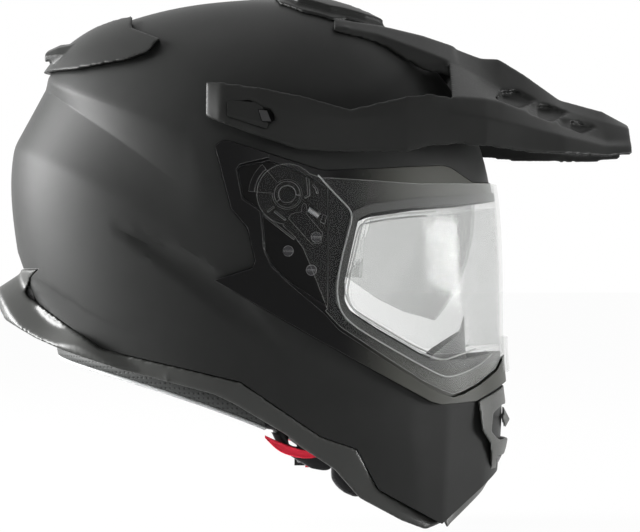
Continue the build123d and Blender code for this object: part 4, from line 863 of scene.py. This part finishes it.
def dress(piece, look, slot, *names, body="helmet"):
    """Give a piece its look, the nodes it stands for and the body it rides. The slot is not used."""
    piece.data.materials.clear()
    piece.data.materials.append(look)
    piece.data.shade_smooth()
    if names:
        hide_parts(*names)
    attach(piece, body)
    return piece


def mirrored(piece, name):
    """The same piece on the left side."""
    points = points_of(piece) * (1, -1, 1)
    faces = [tuple(reversed(face.vertices)) for face in piece.data.polygons]
    return new_object(name, points, faces)


def tube(name, path, radius, sides=10):
    """Tube along points, with rounded-off ends."""
    path = np.array(path)
    along = np.gradient(path, axis=0)
    along /= np.linalg.norm(along, axis=1, keepdims=True)
    first = np.cross(along, (0, 0, 1.0))
    first /= np.linalg.norm(first, axis=1, keepdims=True)
    second = np.cross(along, first)
    around = np.linspace(0, 2 * pi, sides, endpoint=False)
    rings = path[:, None] + radius * (
        first[:, None] * np.cos(around)[None, :, None] + second[:, None] * np.sin(around)[None, :, None]
    )
    count = len(path)
    tips = [path[0] - along[0] * radius * 0.5, path[-1] + along[-1] * radius * 0.5]
    points = list(rings.reshape(-1, 3)) + tips
    faces = [
        (r * sides + k, r * sides + (k + 1) % sides, (r + 1) * sides + (k + 1) % sides, (r + 1) * sides + k)
        for r in range(count - 1) for k in range(sides)
    ]
    faces += [(count * sides, (k + 1) % sides, k) for k in range(sides)]
    last = (count - 1) * sides
    faces += [(count * sides + 1, last + k, last + (k + 1) % sides) for k in range(sides)]
    return new_object(name, points, faces)


def outward(piece):
    """Turn a closed piece's faces to the outside."""
    corners = points_of(piece)
    mesh = piece.data
    mesh.calc_loop_triangles()
    threes = np.array([face.vertices[:] for face in mesh.loop_triangles])
    a, b, c = corners[threes[:, 0]], corners[threes[:, 1]], corners[threes[:, 2]]
    if (a * np.cross(b, c)).sum() < 0:
        mesh.flip_normals()
    return piece


def loft_rings(name, rings):
    """Closed band through rings of equal counts, capped at both ends."""
    rings = np.array(rings)
    count, sides = rings.shape[:2]
    points = list(rings.reshape(-1, 3)) + [rings[0].mean(0), rings[-1].mean(0)]
    faces = [
        (r * sides + k, (r + 1) * sides + k, (r + 1) * sides + (k + 1) % sides, r * sides + (k + 1) % sides)
        for r in range(count - 1) for k in range(sides)
    ]
    faces += [(count * sides, k, (k + 1) % sides) for k in range(sides)]
    last = (count - 1) * sides
    faces += [(count * sides + 1, last + (k + 1) % sides, last + k) for k in range(sides)]
    return outward(new_object(name, points, faces))


# Moulded plastic pieces: the same forms with their edges and panels eased, as they come from the mould
for name, voxel, passes, look, slot, body in (
    ("peak", 0.0013, 9, satin, "peak_plastic", "helmet"),
    ("base_trim", 0.0013, 7, trim, "trim_plastic", "helmet"),
    ("rear_spoiler", 0.0010, 4, satin, "trim_plastic", "helmet"),
    ("top_vent_housing", 0.0009, 3, satin, "trim_plastic", "helmet"),
    ("chin_vent_housing", 0.0009, 3, vent_painted_light, "trim_plastic", "helmet"),
    ("chin_vent_slider", 0.0006, 2, vent_painted_light, "black_plastic", "chin_vent_slider"),
):
    moulded = new_object(name + "_moulded", [], [])
    moulded.data = nodes[name].data.copy()
    dress(evened(moulded, voxel, passes), look, slot, name, body=body)

# Bead moulded round the visor and seal round the inner lens, on each side
visor_face, lens_face = 0.0046, 0.0023
bead_shares = [
    (0.062, 0.034), (0.092, 0.004), (0.120, -0.022), (0.128, -0.048), (0.112, -0.105), (0.101, -0.160),
    (0.102, -0.190), (0.118, -0.222), (0.180, -0.262), (0.285, -0.316), (0.335, -0.330), (0.385, -0.314),
    (0.420, -0.292),
]
seal_shares = [
    (0.300, -0.030), (0.220, -0.036), (0.168, -0.044), (0.150, -0.058), (0.135, -0.112), (0.122, -0.165),
    (0.123, -0.188), (0.138, -0.212), (0.190, -0.243), (0.286, -0.292), (0.335, -0.296), (0.385, -0.282),
]


def smooth_line(points, steps):
    """Even steps along the smooth curve through points."""
    points = np.array(points)
    knots = np.arange(float(len(points)))
    return spline_at(knots, points, natural_spline(knots, points), np.linspace(0, knots[-1], steps))


def skin_path(shares, grow, steps):
    """Smooth path over the right side of the form grown by a distance."""
    form = Form(grow)
    line = smooth_line(np.array(shares) * (shell_length, shell_height), steps)
    return [(x, -float(form.half_width(x, z)), z) for x, z in line]


bead_radius, seal_radius, bead_steps, bead_sides = 0.00045, 0.0006, 130, 8
for part, shares, grow, radius in (
    ("visor_bead", bead_shares, visor_face, bead_radius), ("lens_seal", seal_shares, lens_face, seal_radius),
):
    right = tube(part + "_right", skin_path(shares, grow, bead_steps), radius, bead_sides)
    for side, piece in (("right", right), ("left", mirrored(right, part + "_left"))):
        dress(piece, bead, "clear_visor", body="visor")

# Cheek pads, swollen as filled cloth, with a seam round the rim and one across the face
flap_shares = [
    (-0.040, -0.425), (-0.026, -0.452), (0.005, -0.479), (0.045, -0.500), (0.078, -0.508), (0.092, -0.500),
    (0.100, -0.470), (0.100, -0.455), (0.000, -0.452), (-0.012, -0.425),
]
toe_shares = [
    (0.088, -0.470), (0.086, -0.522), (0.100, -0.540), (0.118, -0.552), (0.145, -0.560), (0.168, -0.548),
    (0.172, -0.470),
]
flap_sides, toe_sides = (-0.0886, -0.0795), (-0.0725, -0.0590)
flap, toe = prism(outline_of(flap_shares), *flap_sides), prism(outline_of(toe_shares), *toe_sides)
rim_seam_y, face_seam_at, face_seam_slope = -0.0655, (-0.005, -0.098), -0.55
cheek_pressure, cheek_cap = 4.0, 0.0012


def rim_seam(p):
    return p[:, 1] - rim_seam_y


def face_seam(p):
    across = p[:, 2] - face_seam_at[1] - face_seam_slope * (p[:, 0] - face_seam_at[0])
    return np.where(p[:, 1] > rim_seam_y, across, outside)


cheek = even_copy("cheek_pad_right", voxel=0.0026, inset=0.0012, passes=5, lobes=(flap, toe))
swell(cheek, cheek_pressure, cheek_cap)
finer(cheek)
sew(cheek, rim_seam, width=0.0010, depth=0.0009)
sew(cheek, face_seam, width=0.0011, depth=0.0012)
cheek_left = mirrored(cheek, "cheek_pad_left_cover")
for side, pad in (("right", cheek), ("left", cheek_left)):
    dress(pad, fabric, "pad_fabric", f"cheek_pad_{side}")

# Crown pad: sewn into panels that stand up between their seams
crown = finer(even_copy("crown_pad", voxel=0.0030, inset=0.0010, passes=3))
crown_seam_side, crown_seam_back, crown_seam_front = 0.024, -0.066, 0.030


def crown_seams(p):
    lengthwise = np.abs(np.abs(p[:, 1]) - crown_seam_side)
    return np.minimum(
        np.minimum(lengthwise, np.abs(p[:, 0] - crown_seam_back)), np.abs(p[:, 0] - crown_seam_front)
    )


sew(crown, crown_seams, width=0.0011, depth=0.0012, puff=0.0007)
dress(crown, mesh_cloth, "pad_fabric", "crown_pad")

# Red pull tabs: a narrow loop of webbing that hangs below the trim
pull_low = np.array([(-0.046, -0.441), (-0.026, -0.459), (-0.003, -0.471), (0.033, -0.478), (0.060, -0.476)])
pull_high = np.array([(-0.046, -0.436), (-0.022, -0.446), (0.004, -0.455), (0.034, -0.463), (0.060, -0.464)])
pull_at, pull_half, pull_steps = 0.0894, 0.00055, 40
# Section of the loop: share of the way up, and share of half the thickness outwards
pull_profile = (
    (0.0, 0.0), (0.04, 0.7), (0.12, 1.0), (0.16, 0.8), (0.5, 0.9), (0.84, 0.8), (0.88, 1.0), (0.96, 0.7),
    (1.0, 0.0), (0.96, -0.7), (0.5, -0.9), (0.04, -0.7),
)
pull_lines = [smooth_line(line, pull_steps) * (shell_length, shell_height) for line in (pull_low, pull_high)]
pull_rings = []
for below, above in zip(*pull_lines):
    places = [(*(below + (above - below) * up), out) for up, out in pull_profile]
    pull_rings.append([(x, -pull_at - out * pull_half, z) for x, z, out in places])
pull_right = loft_rings("red_pull_tab_right", pull_rings)
pull_left = mirrored(pull_right, "red_pull_tab_left")
for side, pull in (("right", pull_right), ("left", pull_left)):
    dress(pull, red, "red_tab", f"cheek_pad_tab_{side}")

# Neck roll: a rounded bolster with a perforated band along its lower edge and a bright piping
roll_turn, roll_steps = 96.0, 121
roll_line_share, roll_fall_share, roll_line_power = -0.300, 0.135, 1.6
base_wall, pad_gap = 0.009, 0.0004
roll_form = Form(-(base_wall + pad_gap))
roll_turns = np.linspace(-roll_turn, roll_turn, roll_steps)
to_end = np.abs(roll_turns) / roll_turn
roll_low = shell_height * (roll_line_share - roll_fall_share * to_end**roll_line_power)
roll_sides, roll_squareness, roll_end, end_size, end_gain = 28, 0.62, 5.0, 0.45, 0.55
pinch_every, pinch_width, pinch_depth = 24.0, 1.2, 0.05


def along_roll(start, gain):
    """A size that changes by the gain from the back to the roll's ends."""
    return start + gain * (roll_turns / roll_turn) ** 2


def rounded(share):
    """Cosine or sine of a circle, pushed out towards that of a rounded square."""
    return np.sign(share) * abs(share) ** roll_squareness


def roll_ring(turn, low, tall, across, squeeze):
    """Section of the neck roll: fuller at mid height, drawn in at its ends."""
    middle_reach, middle_height = float(roll_form.reach(turn, low)) - across / 2, low + tall / 2
    ring = []
    for angle in np.linspace(0, 2 * pi, roll_sides, endpoint=False):
        reach = middle_reach + rounded(cos(angle)) * across / 2 * squeeze
        height = middle_height + rounded(sin(angle)) * tall / 2 * squeeze
        ring.append((middle - cos(radians(turn)) * reach, sin(radians(turn)) * reach, height))
    return ring


roll_tall = shell_height * along_roll(0.034, 0.008)
roll_wide = shell_width / 2 * along_roll(0.145, -0.050)
roll_rings = []
for turn, low, tall, across in zip(roll_turns, roll_low, roll_tall, roll_wide):
    end = min(1.0, (roll_turn - abs(turn)) / roll_end)
    pinch = 1 - pinch_depth * exp(-(((abs(turn) % pinch_every) - pinch_every / 2) / pinch_width) ** 2)
    roll_rings.append(roll_ring(turn, low, tall, across, (end_size + end_gain * sqrt(end)) * pinch))
roll = finer(loft_rings("neck_roll_cover", roll_rings))
dress(roll, fabric, "pad_fabric", "neck_roll")

# Section of the band: distance out of the roll's skin, and share of the roll's height
band_profile = (
    (0.0008, 0.92), (0.0012, 0.72), (0.0013, 0.45), (0.0006, 0.18), (-0.0022, 0.03),
    (-0.0028, 0.06), (0.0, 0.22), (0.0004, 0.45), (0.0003, 0.72), (0.0, 0.92),
)
piping_place, piping_radius = (-0.0008, 0.03), 0.0011
band_span = slice(3, -3)
band_turns, band_low, band_tall = roll_turns[band_span], roll_low[band_span], roll_tall[band_span]
band_reach = roll_form.reach(band_turns, band_low + band_tall * 0.5)
band_rings = []
for turn, low, tall, reach in zip(band_turns, band_low, band_tall, band_reach):
    c, s = cos(radians(turn)), sin(radians(turn))
    band_rings.append([
        (middle - c * (reach + out), s * (reach + out), low + up * tall)
        for out, up in (*band_profile, piping_place)
    ])
band = loft_rings("neck_roll_band", [ring[:-1] for ring in band_rings])
dress(band, perforated, "pad_fabric")
piping = tube("neck_roll_piping", [ring[-1] for ring in band_rings], piping_radius)
dress(piping, silver, "pad_fabric")

# Chin curtain: a stretched sheet under the chin bar, with a stitched hem
curtain_hem_x = 0.0560
curtain = even_copy("chin_curtain", voxel=0.0014, inset=0.0002, passes=2)
sew(curtain, lambda p: p[:, 0] - curtain_hem_x, width=0.0006, depth=0.0003)
dress(curtain, mesh_cloth, "pad_fabric", "chin_curtain")

# Chin straps: flat webbing with rolled edges along the straps' route, as distance out and height
strap_path = np.array([
    (0.1015, -0.0970), (0.1009, -0.1050), (0.0992, -0.1130), (0.0940, -0.1220), (0.0860, -0.1360),
    (0.0792, -0.1480), (0.0730, -0.1520), (0.0620, -0.1563), (0.0450, -0.1577), (0.0300, -0.1588),
    (0.0153, -0.1600),
])
strap_wall, strap_wide, strap_x, strap_steps = 0.00144, 0.0196, 0.015, 90
strap_profile = (
    (-0.5, -0.3), (-0.47, -0.5), (-0.2, -0.5), (0.2, -0.5), (0.47, -0.5), (0.5, -0.3),
    (0.5, 0.3), (0.47, 0.5), (0.2, 0.5), (-0.2, 0.5), (-0.47, 0.5), (-0.5, 0.3),
)
strap_run = np.concatenate([[0], np.cumsum(np.hypot(*np.diff(strap_path, axis=0).T))])
strap_bends = natural_spline(strap_run, strap_path)
strap_line = spline_at(strap_run, strap_path, strap_bends, np.linspace(0, strap_run[-1], strap_steps))
strap_way = np.gradient(strap_line, axis=0)
strap_way /= np.linalg.norm(strap_way, axis=1, keepdims=True)
strap_rings = [
    [
        (strap_x + side * strap_wide, -(out - dz * strap_wall * lift), up + dy * strap_wall * lift)
        for side, lift in strap_profile
    ]
    for (out, up), (dy, dz) in zip(strap_line, strap_way)
]
strap_right = loft_rings("chin_strap_right_webbing", strap_rings)
strap_left = mirrored(strap_right, "chin_strap_left_webbing")
for side, strap in (("right", strap_right), ("left", strap_left)):
    dress(strap, webbing, "pad_fabric", f"chin_strap_{side}")

low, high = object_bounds()
